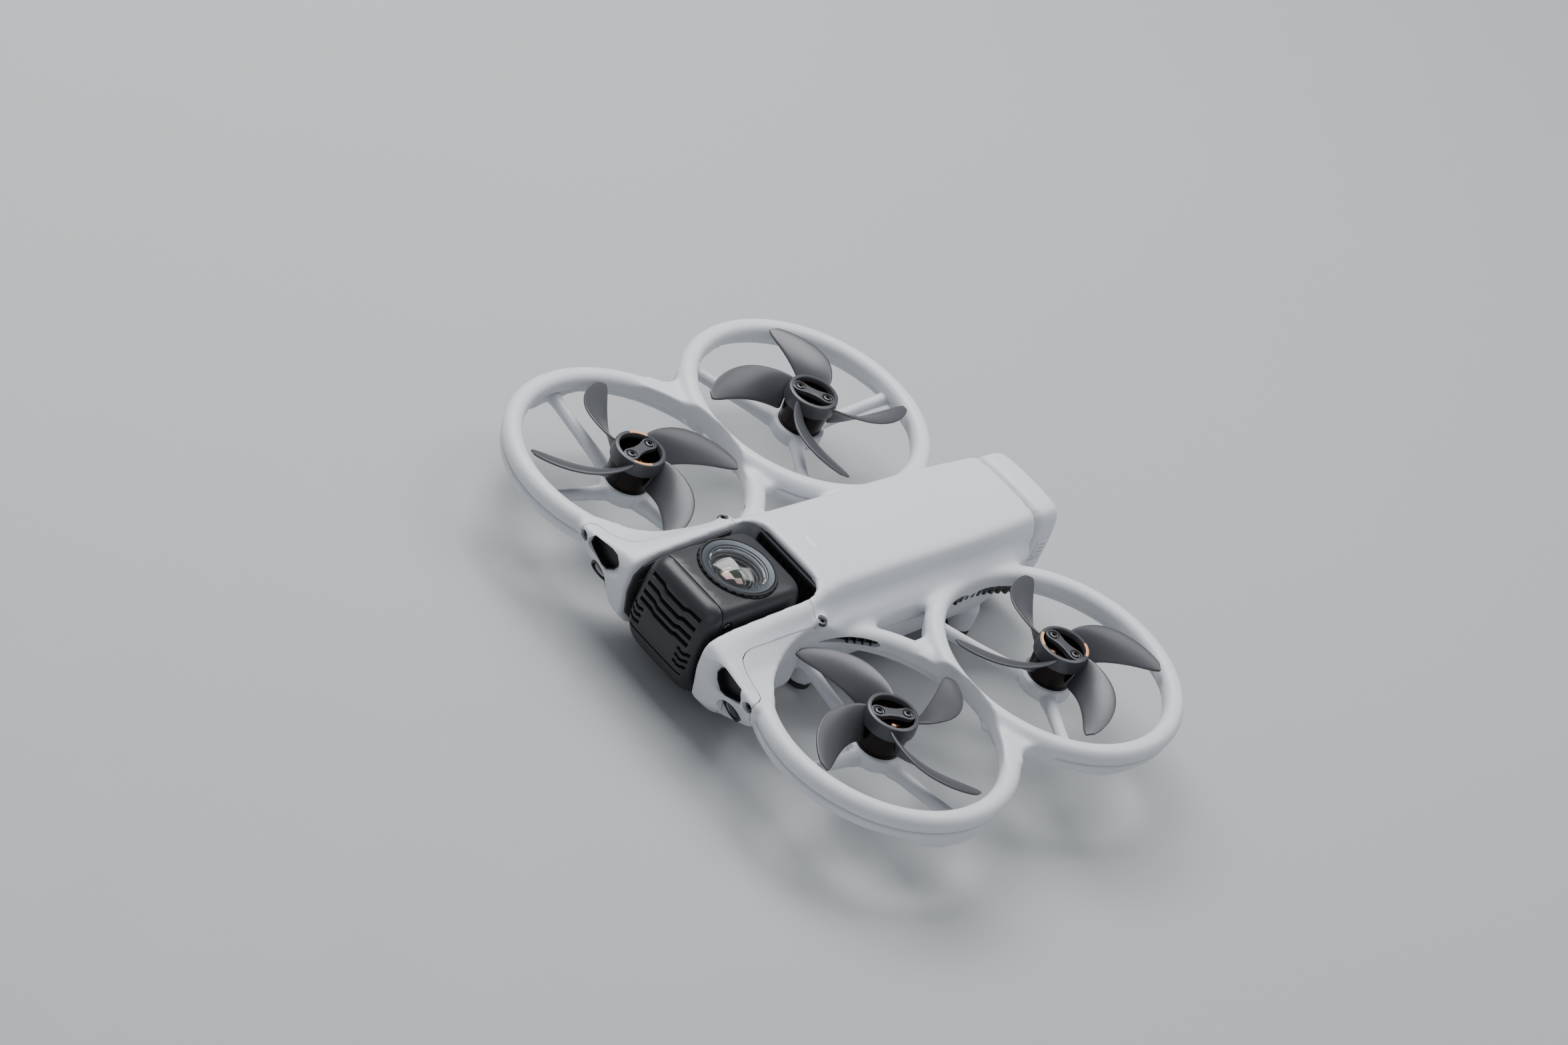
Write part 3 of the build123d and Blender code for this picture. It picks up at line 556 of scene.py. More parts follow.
def melt(pieces, fine, coarse, pulls, rounds):
    """Join closed forms as one moulding: a copy melted coarsely leaves fillets in the inner corners."""
    whole = join(*pieces)
    fillets = twin(whole)
    remesh(fillets, coarse)
    smooth(fillets, pulls)
    modify(fillets, "DISPLACE", strength=-0.4, mid_level=0)
    whole = join(whole, fillets)
    remesh(whole, fine)
    smooth(whole, rounds)
    return modify(whole, "DISPLACE", strength=0.28, mid_level=0)


def nose_cover_outline(grow):
    """Plan outline of the right nose cover: along the rail, round behind the bumper, out to its end."""
    edge = [(28.6, NOSE_SEAM + 2), (28.8, -50), (29.3, -79), (30.0, -82), (31.6, -84.2), (34.0, -85.2),
            (44.5, -85.8), (46.6, -86.6), (47.8, -88.4), (48.2, -91), (48.2, -110)]
    return [(x + grow, y + grow) for x, y in edge] + [(10, -110), (10, NOSE_SEAM + 2)]


BOSS = Vector((28.3, -42.4, 43.8))


def make_frame():
    """Upper moulding with the four guard tubes, and the two nose covers cut from it."""
    tail = bench_box("hull_upper")[1].y
    arm, web, pocket = nose_arm_blank(), saddle_web(), pocket_web()
    pieces = [guard_tube(c) for c in corners.values()] + [fuselage_top(tail + TAIL_OVERRUN)]
    for half in (arm, web, pocket):
        pieces += [half, twin(half, flip=True)]
    boss = plug(BOSS.x, BOSS.y, 36, BOSS.z + 0.6, 3.1, 32)
    pieces += [boss, twin(boss, flip=True)]
    shell = melt(pieces, FINE, COARSE, 50, 4)
    for cutter in (join(*bores()), bay_mouth(), box(-TAIL_HALF, TAIL_HALF, tail, FAR, UNDER, OVER),
                   box(-BAY_HALF, BAY_HALF, -FAR, BAY_BACK, UNDER, BAY_LIP_Z)):
        carve(shell, cutter)
    remesh(shell, FINE)
    smooth(shell, 4)
    for side in (1, -1):
        carve(shell, plug(side * BOSS.x, BOSS.y, BOSS.z - 1.2, 60, 2.1, 32))
    bumper_cuts(shell)
    outer, inner = [prism(nose_cover_outline(grow), -10, 90) for grow in (SEAM / 2, -SEAM / 2)]
    carve(inner, box(-FAR, FAR, -FAR, NOSE_SEAM - SEAM / 2, -10, 90), how="INTERSECT")
    carve(outer, box(0, FAR, -FAR, NOSE_SEAM + SEAM / 2, -10, 90), how="INTERSECT")
    cover = carve(twin(shell), inner, how="INTERSECT")
    covers = [cover, twin(cover, flip=True)]
    carve(shell, outer, move(twin(outer, flip=True), z=COVER_STEP))
    vent_mouths(shell)
    room(shell)
    lamp = bench_box("status_light")
    carve(shell, box(lamp[0].x, lamp[1].x, lamp[0].y, lamp[1].y, lamp[0].z, 60))
    return shell, covers


WINDOW = ((29.4, 33.6), (29.9, 36.0), (32.0, 38.2), (34.0, 38.3), (40.6, 36.9), (41.9, 34.6), (42.0, 32.4),
          (40.2, 31.2), (35.4, 29.2), (33.0, 29.2), (30.4, 31.4))
EYE, EYE_AXIS = Vector((37.0, -86.2, 21.6)), Vector((-0.10, -0.84, -0.53)).normalized()
WINDOW_MIDDLE, WINDOW_STRETCH = (35.8, 33.8), (1.22, 1.14)


def window_cut(side, *levels):
    """A cutter through the bumper window; each level is (y, share of its own size, shift inward)."""
    (middle_x, middle_z), (wide, tall) = WINDOW_MIDDLE, WINDOW_STRETCH
    return loft(*[[(side * (middle_x - shift + (x - middle_x) * share * wide), y,
                    middle_z + (z - middle_z) * share * tall) for x, z in WINDOW]
                  for y, share, shift in levels])


def vision_axis(side):
    """Where one vision lens sits and where it looks, forward and down."""
    return (Vector((side * v.x, v.y, v.z)) for v in (EYE, EYE_AXIS))


def vision_eye(side, r, depth):
    """A bar along the axis of one vision lens."""
    face, axis = vision_axis(side)
    return rod(face - axis * depth, face + axis * 9, r, 48)


def bumper_cuts(shell):
    """Window funnels and their dark slots, vision lens seats and screw holes in both bumpers."""
    for side in (1, -1):
        carve(shell, window_cut(side, (-97, 1.5, 4.2), (-90.2, 1.0, 0), (-86.6, 1.0, 0)))
        carve(shell, vision_eye(side, 5.1, 2.4))
        place = side * BUMPER_SCREW_X, -88.4, BUMPER_SCREW_Z
        carve(shell, rod((place[0], -95, place[2]), place, 2.3, 32))
    return shell


def foot_posts():
    low = bench_box("foot_pads")[1].z
    return [plug(side * FOOT_X, y, low, FOOT_ROOT, FOOT_R, 32) for y in FOOT_YS for side in (1, -1)]


def skirt(c):
    """Thin wall that hangs below one guard tube, with a soft lower edge."""
    outer, high = RING_OUT - SKIRT_INSET, c.crest - TUBE_H - SEAM - 0.3
    low, inner = high - SKIRT_H + 0.2, outer - SKIRT_W
    return lathe([(inner, low + 0.5), (inner + 0.6, low), (outer - 0.8, low), (outer - 0.1, low + 0.7),
                  (outer + 0.5, high), (inner, high)], c.x, c.y, steps=144)


def landing_fin(c):
    """Keel that grows out of the skirt's lower edge."""
    outer, high = RING_OUT - SKIRT_INSET, c.crest - TUBE_H - SKIRT_H + 1.0
    if c.front:
        drops = ((-31, 0.2), (-27, 1.8), (-21, 3.6), (-13, 4.4), (-2, 4.4), (5, 3.4), (11, 1.6), (16, 0.2))
    else:
        drops = ((-33, 0.1), (-27, 1.2), (-17, 2.0), (-8, 1.2), (0, 0.1))
    sections = []
    for azimuth, drop in drops:
        low = high - 1.0 - drop
        sections.append([c.at(outer - SKIRT_W, azimuth, high), c.at(outer, azimuth, high),
                         c.at(outer - 0.3, azimuth, low), c.at(outer - SKIRT_W + 0.3, azimuth, low)])
    return loft(*sections)


def room(shell):
    """Machine room and battery tunnel, which the parts of the frame sit in."""
    half = bench_box("hull_upper")[1].x - 6.0
    core = bench_box("battery")[0].y - 0.5
    carve(shell, box(-half, half, BAY_BACK + 4, core - 2, 13, 46.4))
    return carve(shell, box(-19.1, 19.1, core, FAR, 14.0, 45.0))


def make_lower_frame():
    """Belly moulding with the four skirts, the landing keels and the four foot posts."""
    tail = bench_box("hull_lower")[1].y
    hull = loft(belly(NOSE_SEAM + SEAM, 27, 11), belly(-30, 28, 9), belly(20, 28, 9), belly(60, 26, 9),
                belly(tail + TAIL_OVERRUN, 21.4, 10))
    pieces = [skirt(c) for c in corners.values()] + [landing_fin(c) for c in corners.values()] + [hull]
    pieces += foot_posts()
    whole = melt(pieces, BELLY_FINE, COARSE, 8, 2)
    carve(whole, *bores())
    carve(whole, box(-TAIL_HALF, TAIL_HALF, tail, FAR, UNDER, 60))
    remesh(whole, BELLY_FINE)
    smooth(whole, 3)
    carve(whole, box(-BAY_HALF, BAY_HALF, -FAR, BAY_BACK, UNDER, 60))
    room(whole)
    low, high = bench_box("belly_sensor_window")
    carve(whole, box(low.x, high.x, low.y, high.y, 0, high.z))
    vents = [box(-16 + i * 6.4, -12 + i * 6.4, -26, -4, 5, 10.2) for i in range(5)]
    carve(whole, *[soften(vent, 1.2, 3) for vent in vents])
    return whole


# ------------------------ motors and props
def motor_seat(c):
    """Cup under the motor and its three ribs, melted together."""
    floor = c.hub - CUP_DROP
    cup = lathe([(0, floor), (8.6, floor), (9.7, floor + 0.7), (10.2, floor + 2.0), (10.2, floor + 6.1),
                 (9.9, floor + 6.5), (0, floor + 6.5)], steps=64)
    ribs = []
    for azimuth in SPOKES[c.front]:
        sections = []
        for r, half, height, z in ((6, 3.6, 6.0, 3.0), (11, 3.2, 5.6, 3.3), (16, 2.6, 4.8, 4.0),
                                   (28, 2.3, 4.4, 5.9), (40, 2.4, 4.6, 8.0), (48, 3.4, 5.0, 9.4)):
            low, high = floor + z - height / 2, floor + z + height / 2
            sections.append([(r, side * half * share, low + (high - low) * rise) for side, share, rise in
                             ((-1, 0.75, 0), (1, 0.75, 0), (1, 1.0, 0.55), (1, 0.55, 0.92), (1, 0.0, 1.0),
                              (-1, 0.55, 0.92), (-1, 1.0, 0.55))])
        ribs.append(move(loft(*sections), turn=azimuth))
    seat = join(cup, *ribs)
    remesh(seat, SEAT_FINE)
    smooth(seat, 5)
    carve(seat, plug(0, 0, floor + 2.0, 90, 8.6, 64))
    carve(seat, plug(0, 0, -10, 90, RING_OUT - SKIRT_INSET - 1.0, 96), how="INTERSECT")
    if c.side < 0:
        mirror(seat, 0)
    return move(seat, c.x, c.y)


# radius, lead and lag azimuth against the tip, lead and lag height below the hub top
BLADE = ((9.0, -63, -20, -1.2, -12.8), (12, -58.5, -17.5, -1.0, -11.9), (16, -51, -14, -0.9, -10.7),
         (21, -43, -9.4, -1.1, -9.2), (26, -36, -5.4, -1.5, -8.1), (31, -27, -2.4, -2.2, -7.3),
         (35.5, -18, 0.2, -3.1, -6.7), (39, -10.2, 1.6, -4.0, -6.3), (41.1, -5.0, 1.7, -4.7, -6.0),
         (41.75, -2.6, 1.2, -5.1, -5.8))


def blade():
    """Scimitar blade: a grid laid over the radius stations, arched across its chord, thin at its rim."""
    across = 9
    obj = primitive("grid", x_subdivisions=across - 1, y_subdivisions=len(BLADE) - 1, size=2)
    with edit(obj):
        form = bmesh.from_edit_mesh(obj.data)
        for vert in form.verts:
            s = (vert.co.x + 1) / 2
            r, lead, lag, z_lead, z_lag = BLADE[round((vert.co.y + 1) / 2 * (len(BLADE) - 1))]
            arch = 0.16 * (z_lead - z_lag) * 4 * s * (1 - s)
            a = radians(lead + (lag - lead) * s)
            vert.co = (r * cos(a), r * sin(a), z_lead + (z_lag - z_lead) * s + arch)
        bmesh.update_edit_mesh(obj.data)
    face_out(obj)
    modify(obj, "SOLIDIFY", thickness=1.0, offset=0)
    modify(obj, "SUBSURF", levels=2, render_levels=2)
    return obj


def hub_bridge(turn, z0, z1, boss, waist, reach):
    """Dog-bone bar across the hub: two round bosses and a narrow waist."""
    end = [(reach + boss * cos(radians(a)), boss * sin(radians(a))) for a in range(-105, 106, 15)]
    end += [(1.5, waist), (-1.5, waist)]
    return move(prism(end + [(-x, -y) for x, y in end], z0, z1), turn=turn)


def rotor_prop(c):
    """Hub rim, collar and bridge with four blades."""
    turn = HUB_TURN[c.key]
    rim = lathe([(8.15, -2.2), (8.15, -0.35), (8.4, -0.02), (9.35, 0), (9.75, -0.3), (10.0, -1.4),
                 (10.25, -4.4), (10.1, -5.6), (9.55, -5.2), (9.42, -2.2)], steps=96)
    bar = hub_bridge(turn, -2.2, -0.25, 2.9, 2.0, 5.7)
    soften(bar, 0.25, 2)
    carve(bar, *[plug(*polar(HUB_SCREW_R, turn + a), -1.1, 2, 2.15, 32) for a in (0, 180)])
    first = move(blade(), turn=PROP_TURN[c.key] * c.hand)
    blades = [first] + [twin(first, turn=i * 90) for i in (1, 2, 3)]
    return rim, bar, blades


def socket_screw(r, height, socket):
    """Button head with a hexagonal socket, standing on the bench at z = 0."""
    head = lathe([(0, 0), (r, 0), (r, height * 0.45), (r * 0.86, height * 0.85), (r * 0.6, height),
                  (0, height)], steps=40)
    return carve(head, primitive("cylinder", vertices=6, radius=socket, depth=height,
                                 location=(0, 0, height * 0.85)))


def aim(obj, place, direction):
    """Stand a piece made at the bench origin on a place, its Z along a direction."""
    turn = Vector(direction).to_track_quat("Z", "Y").to_matrix().to_4x4()
    obj.matrix_world = Matrix.Translation(place) @ turn
    return freeze(obj)


def make_rotor(c):
    """What turns at one corner, and the windings and the seat that carry it."""
    turn = HUB_TURN[c.key]

    def fit(pieces, name, finish, node=None, body=c.body, smooth=30, sink=0.0):
        settle(move(join(*pieces), c.x, c.y, c.hub - sink), name + "_" + c.key, body, finish,
               replaces=[node + "_" + c.key] if node else (), smooth=smooth)

    rim, bar, blades = rotor_prop(c)
    if c.hand < 0:
        blades = [mirror(b, 1) for b in blades]
    fit([rim, bar, *blades], "prop", "prop", "propeller", smooth=40)
    screws = []
    for a in (0, 180):
        x, y = polar(HUB_SCREW_R, turn + a)
        washer = lathe([(1.55, -1.15), (2.1, -1.15), (2.1, -0.75), (1.9, -0.6), (1.55, -0.7)], x, y, steps=40)
        screws += [washer, move(socket_screw(1.6, 1.1, 0.75), x, y, -1.15)]
    fit(screws, "prop_screws", "screw", "hub_screws")
    can = lathe([(8.15, -16.0), (8.35, -15.8), (8.5, -15.2), (9.25, -3.0), (9.3, -2.4), (8.3, -2.4),
                 (8.25, -3.4), (7.4, -15.6), (7.5, -16.0)], steps=96)
    groove = lathe([(8.42, -14.2), (9.4, -14.2), (9.4, -13.7), (8.42, -13.7)], steps=96)
    carve(can, groove)
    spider = hub_bridge(turn, -4.4, -2.3, 2.3, 1.8, 5.6)
    soften(spider, 0.3, 2)
    shaft = lathe([(0, -18), (1.45, -18), (1.45, -3.2), (1.2, -2.9), (0, -2.9)], steps=32)
    fit([can, spider, shaft], "motor_can", "bell", "motor_bell")
    if "prop_marks_" + c.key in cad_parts:
        across = [(8.35, -0.25), (8.35, 0.03), (8.5, 0.1), (9.25, 0.1), (9.4, 0.03), (9.4, -0.25)]
        arcs = [lathe(across, steps=20, arc=radians(46), start=turn + a - 23) for a in (90, 270)]
        fit(arcs, "direction_marks", "mark", "prop_marks", sink=MARK_SINK)
    coils = [move(soften(box(3.1, 6.3, -1.55, 1.55, -15.2, -7.2), 0.7, 3), turn=i * 40) for i in range(9)]
    fit(coils, "motor_windings", "wire", body="airframe", smooth=40)
    settle(motor_seat(c), "motor_seat_" + c.key, "airframe", "cup",
           replaces=["motor_mount_" + c.key], smooth=50)


# ------------------------ camera
CAMERA_Z = 28.4
LENS_Y, LENS_FACE = -63.2, 50.2
PIVOT_Y = -67
CASE_SCREW = (17.2, -80.6, 42.6)
SLOT_DEPTH_Y = -88.6            # where the slots of the front cover end


def rounded_slice(half, y0, y1, r, z):
    """One level of the camera case, with round corners."""
    points = []
    for sx, sy, start in ((1, 1, 0), (-1, 1, 90), (-1, -1, 180), (1, -1, 270)):
        cx, cy = sx * (half - r), (y1 - r if sy > 0 else y0 + r)
        points += [(cx + r * cos(radians(start + a)), cy + r * sin(radians(start + a)), z)
                   for a in (0, 22.5, 45, 67.5, 90)]
    return points


# half width, front, back, corner and height of each level
CASE_LEVELS = (
    (12.5, -79, -45, 4.5, 6.6), (14.6, -81.6, -43.4, 5.2, 7.4), (16.8, -84.6, -42.3, 5.8, 10.2),
    (17.7, -87.6, -42.0, 6.2, 14.0), (18, -90.6, -42, 6.5, 19.0), (18, -92, -42, 6.5, 26.0),
    (18, -92, -42, 6.5, 38.0), (18, -91.4, -42, 6.5, 43.5), (17.3, -90.0, -42.4, 6.3, 47.2),
    (15.6, -87.6, -43.8, 5.4, 49.4), (13.2, -84.8, -46.2, 4.6, 50.2))


def slot_bar(x0, x1, z, kink, height=1.9):
    """Slot cutter across the front cover; its middle steps down by the kink."""
    run = x1 - x0
    spine = [(x0, z), (x0 + run * 0.24, z), (x0 + run * 0.32, z - kink), (x0 + run * 0.68, z - kink),
             (x0 + run * 0.76, z), (x1, z)]
    outline = [(x, y + height / 2) for x, y in spine] + [(x, y - height / 2) for x, y in reversed(spine)]
    return move(prism(outline, 0, 8), y=SLOT_DEPTH_Y, turn=90, about="X")


def halve(obj, y, keep_front):
    with edit(obj):
        bpy.ops.mesh.bisect(plane_co=(0, y, 0), plane_no=(0, 1, 0), use_fill=True, clear_outer=keep_front,
                            clear_inner=not keep_front)
    return face_out(obj)


def pivot_rod(side, r, steps):
    """A bar along the tilt axis, from the case out past the bay wall."""
    return rod((side * 15, PIVOT_Y, CAMERA_Z), (side * 30, PIVOT_Y, CAMERA_Z), r, steps)


def case_screw(side):
    return side * CASE_SCREW[0], CASE_SCREW[1], CASE_SCREW[2]


def make_camera_block():
    case = loft(*[rounded_slice(*level) for level in CASE_LEVELS])
    modify(case, "SUBSURF", levels=1, render_levels=1)
    cover = halve(twin(case), -84.2, True)
    body = halve(case, -83.75, False)
    soften(cover, 0.35, 2, 60)
    soften(body, 0.35, 2, 60)
    for z, kink in ((44.2, 1.1), (40.2, 1.1), (36.3, 1.0), (32.9, 0.8)):
        carve(cover, slot_bar(-13.2, 13.2, z, kink))
    for z in (29.4, 26.4, 23.4):
        carve(cover, slot_bar(9.6, 15.4, z, 0.5, 1.5), slot_bar(-15.4, -9.6, z, 0.5, 1.5))
    carve(cover, slot_bar(-14.5, 14.5, 19.3, 0, 0.9))
    soften(cover, 0.22, 2, 50)
    settle(cover, "camera_fin_cover", "camera", "graphite",
           replaces=["camera_front_cover"], smooth=40)
    carve(body, plug(0, LENS_Y, 49.0, 60, 15.3, 96), plug(0, LENS_Y, -5, 7.8, 15.3, 96))
    carve(body, plug(0, LENS_Y, 40.5, 60, 10.6, 64), plug(0, LENS_Y, -5, 16.5, 10.6, 64))
    for side in (1, -1):
        carve(body, pivot_rod(side, 4.6, 48))
        carve(body, rod(case_screw(side), (side * 30, CASE_SCREW[1], 43.0), 2.4, 32))
    line = loft(rounded_slice(18.6, -100, -41.4, 6.5, 45.9), rounded_slice(18.6, -100, -41.4, 6.5, 46.1))
    carve(line, loft(rounded_slice(17.4, -100.4, -42.55, 6.2, 45.8),
                     rounded_slice(17.35, -100.4, -42.6, 6.2, 46.2)))
    carve(body, line)
    screws = [aim(socket_screw(1.7, 0.9, 0.75), case_screw(side), (side, 0, 0)) for side in (1, -1)]
    settle(join(*screws), "camera_case_screws", "camera", "screw")
    settle(body, "camera_case", "camera", "graphite", replaces=["camera_body"], smooth=40)
    make_lens("top")
    make_lens("bottom")


def make_lens(end):
    """Grip ring with scallops, slate ring, stepped barrel, a coated lens and the dome."""
    face = LENS_FACE

    def turned(across, steps=96):
        """A ring from radii and heights over the case's face."""
        return lathe([(r, face + z) for r, z in across], steps=steps)

    grip = turned(((13.9, -1.1), (15.1, -1.1), (15.1, 0.5), (14.75, 0.95), (14.2, 0.95), (13.9, 0.6)), 144)
    carve(grip, *[plug(*polar(15.75, a), face - 0.1, face + 3, 1.05, 16) for a in range(0, 360, 12)])
    slate = turned(((10.9, -1.1), (13.85, -1.1), (13.85, 0.72), (13.6, 0.95), (11.5, 0.7), (11.2, 0.3),
                    (10.9, 0.2)), 144)
    barrel = turned(((10.85, -0.2), (10.8, -0.3), (10.7, -1.0), (10.0, -1.1), (9.8, -1.9), (9.0, -2.0),
                     (8.8, -2.9), (8.1, -3.0), (7.9, -4.1), (7.2, -4.2), (7.0, -6.4), (0, -6.4), (0, -8.6),
                     (10.3, -8.6), (10.35, -1.2), (10.85, -1.0)))
    collar = turned(((6.1, -4.6), (7.0, -4.6), (7.0, -3.9), (6.6, -3.6), (6.1, -3.8)))
    front_lens = lathe([(0, face - 6.2), (6.0, face - 6.2), (6.0, face - 5.0)] +
                       [(6.0 * cos(radians(a)), face - 5.0 + 2.7 * sin(radians(a)))
                        for a in range(5, 90, 5)] +
                       [(0, face - 2.3)], steps=96)
    rise, half = 3.9, 10.85
    big = (half ** 2 + rise ** 2) / (2 * rise)
    arc = []
    for r in (10.85, 10.5, 10.0, 9.3, 8.4, 7.2, 5.8, 4.2, 2.4, 0):
        arc.append((r, face + 0.1 + sqrt(big ** 2 - r ** 2) - (big - rise)))
    inner = [(r * 0.93, z - 0.75) for r, z in reversed(arc)]
    dome = lathe(arc + inner, steps=96)
    rings = {"lens_grip_ring_": (grip, "lens_black", "black", ("lens_ring_",)),
             "lens_slate_ring_": (slate, "lens_ring_grey", "ring", ()),
             "lens_barrel_steps_": (join(barrel, collar), "lens_black", "black", ("lens_barrel_",)),
             "lens_element_": (front_lens, "lens_glass", "lens", ()),
             "lens_glass_dome_": (dome, "lens_glass", "glass", ("lens_dome_",))}
    for name, (piece, slot, finish, nodes) in rings.items():
        move(piece, 0, LENS_Y)
        if end == "bottom":
            move(mirror(piece, 2), z=2 * CAMERA_Z)
        settle(piece, name + end, "camera", finish, replaces=[node + end for node in nodes], smooth=32)


# ------------------------ nose, bay and battery
def make_nose_parts():
    screws = [aim(socket_screw(2.0, 1.2, 0.85), (side * BUMPER_SCREW_X, -88.9, BUMPER_SCREW_Z), (0, -1, 0))
              for side in (1, -1)]
    screws += [move(socket_screw(1.9, 1.2, 0.8), side * BOSS.x, BOSS.y, BOSS.z - 1.15) for side in (1, -1)]
    settle(join(*screws), "bumper_screws", "airframe", "screw", replaces=["frame_screws"])
    eyes, bezels, tunnels = [], [], []
    for side in (1, -1):
        face, axis = vision_axis(side)
        bulge = [(4.1 * sin(radians(a)), 0.2 + 1.5 * cos(radians(a))) for a in (90, 75, 60, 45, 30, 15)]
        eye = lathe([(0, 0)] + bulge + [(0, 1.7)], steps=48)
        bezel = lathe([(4.0, -0.4), (5.0, -0.4), (5.0, 1.3), (4.7, 1.6), (4.3, 1.5), (4.0, 0.8)], steps=48)
        eyes.append(aim(eye, face - axis * 2.0, axis))
        bezels.append(aim(bezel, face - axis * 2.0, axis))
        plate = window_cut(side, (-87.2, 1.0, 0), (-86.7, 1.0, 0))
        sleeve = window_cut(side, (-89.9, 1.005, 0), (-86.9, 1.005, 0))
        carve(sleeve, window_cut(side, (-92, 0.93, 0), (-87.1, 0.93, 0)))
        tunnels.append(join(plate, sleeve))
    settle(join(*eyes), "vision_lenses", "airframe", "window",
           replaces=["vision_sensors"], smooth=40)
    settle(join(*bezels), "vision_bezels", "airframe", "black")
    settle(join(*tunnels), "bumper_window_sleeves", "airframe", "black")


def make_bay_liners():
    """Dark inner panels beside the camera, with pressed windows."""
    half, liners = BAY_HALF, []
    for side in (1, -1):
        outline = [(-46, 15.5), (-46, 45.8), (-65, 43.9), (-81, 42.2), (-88, 40.2), (-90.6, 36.5),
                   (-90.4, 29), (-86.4, 17.6), (-81, 12.6), (-70, 13.5), (-57, 15.5)]
        panel = loft(*[[(side * x, y, z) for y, z in outline] for x in (half - 0.75, half + 0.1)])
        holes = [box(side * (half - 3), side * (half - 0.25), y, y + 5.5, z, z + 4.0)
                 for y, z in ((-88, 33), (-86.5, 24), (-79, 36), (-56, 36))]
        carve(panel, *[soften(hole, 0.6, 2) for hole in holes])
        carve(panel, pivot_rod(side, 2.6, 32))
        soften(panel, 0.12, 2, 50)
        liners.append(panel)
    settle(join(*liners), "bay_liners", "airframe", "liner")
    lip = box(-half + 0.4, half - 0.4, BAY_LIP_BACK + 0.6, BAY_BACK - 0.1, BAY_LIP_Z - 1.0, BAY_LIP_Z - 0.2)
    soften(lip, 0.25, 2)
    settle(lip, "bay_lip_seal", "airframe", "liner")


def cap_slice(y, inset):
    right = [(0, 51.9), (9.4, 51.7), (15.4, 51.0), (17.4, 49.6), (18.9, 46.9), (19.6, 42.5), (20.1, 36),
             (20.1, 16), (17.5, 11.8), (13.5, 10.6), (0, 10.6)]
    points = [(x, z) for x, z in right] + [(-x, z) for x, z in reversed(right[1:-1])]
    grow = 1 - inset / 20.0
    return [(x * grow, y, 31 + (z - 31) * grow) for x, z in points]


def make_battery():
    low, high = bench_box("battery")
    button = bench_box("power_button")
    seam, tail = bench_box("hull_upper")[1].y + 0.3, high.y
    cap = loft(cap_slice(seam, 0), cap_slice(seam + 6, 0), cap_slice(tail - 4, 0.1),
               cap_slice(tail - 1.8, 0.5), cap_slice(tail - 0.6, 1.2), cap_slice(tail, 2.3))
    modify(cap, "SUBSURF", levels=2, render_levels=2, boundary_smooth="PRESERVE_CORNERS")
    for side in (1, -1):
        lo, hi = bench_box("battery_latch_" + ("right" if side > 0 else "left"))
        pad = box(side * 15.8, side * 25, lo.y - 0.25, hi.y + 0.25, lo.z - 0.25, hi.z + 0.25)
        carve(cap, soften(pad, 0.5, 2))
        step = box(side * 19.2, side * 25, lo.y - 2.2, hi.y + 8, lo.z - 2.5, lo.z - 0.6)
        carve(cap, soften(step, 0.4, 2))
    middle = (button[0] + button[1]) / 2
    carve(cap, rod((0, tail - 4, middle.z), (0, tail + 5, middle.z), 4.25, 64))
    lamp_z = middle.z - LAMP_DROP
    carve(cap, *[rod((x, tail - 0.7, lamp_z), (x, tail + 3, lamp_z), 0.75, 24) for x in LAMP_XS])
    settle(cap, "battery_cap", "battery", "battery", replaces=["battery"], smooth=40)
    core = soften(box(low.x + 1.6, high.x - 1.6, low.y, seam - 0.05, 14.6, 44.4), 2.2, 4)
    carve(core, *[box(-12 + i * 6, -9 + i * 6, low.y - 1, low.y + 3.5, 20, 30) for i in range(5)])
    for side in (1, -1):
        carve(core, box(side * 18.0, side * 25, low.y - 5, seam - 8, 28, 31))
    settle(core, "battery_core", "battery", "cell")
    lamps = [rod((x, tail - 1.4, lamp_z), (x, tail - 0.25, lamp_z), 0.7, 24) for x in LAMP_XS]
    settle(soften(join(*lamps), 0.15, 2), "charge_lamps", "battery", "light")
    key = lathe([(0, 0), (3.95, 0), (3.95, 2.9), (3.7, 3.3), (3.2, 3.42), (1.4, 3.25), (0, 3.2)], steps=64)
    carve(key, lathe([(2.5, 2.0), (2.9, 2.0), (2.9, 4.0), (2.5, 4.0)], steps=64))
    settle(aim(key, (0, button[1].y - 3.5, middle.z), (0, 1, 0)), "power_key", "power_button",
           "liner",
           replaces=["power_button"], smooth=35)
    for side, name in ((1, "right"), (-1, "left")):
        lo, hi = bench_box("battery_latch_" + name)
        latch = soften(box(lo.x, hi.x, lo.y, hi.y, lo.z, hi.z), 0.6, 3)
        face = hi.x if side > 0 else lo.x
        carve(latch, *[box(face - side * 0.4, face + side, lo.y + 1.2, hi.y - 1.2, lo.z + z,
                           lo.z + z + 0.7)
                       for z in (1.8, 3.6, 5.4)])
        settle(latch, "latch_pad_" + name, "latch_" + name, "battery",
               replaces=["battery_latch_" + name])


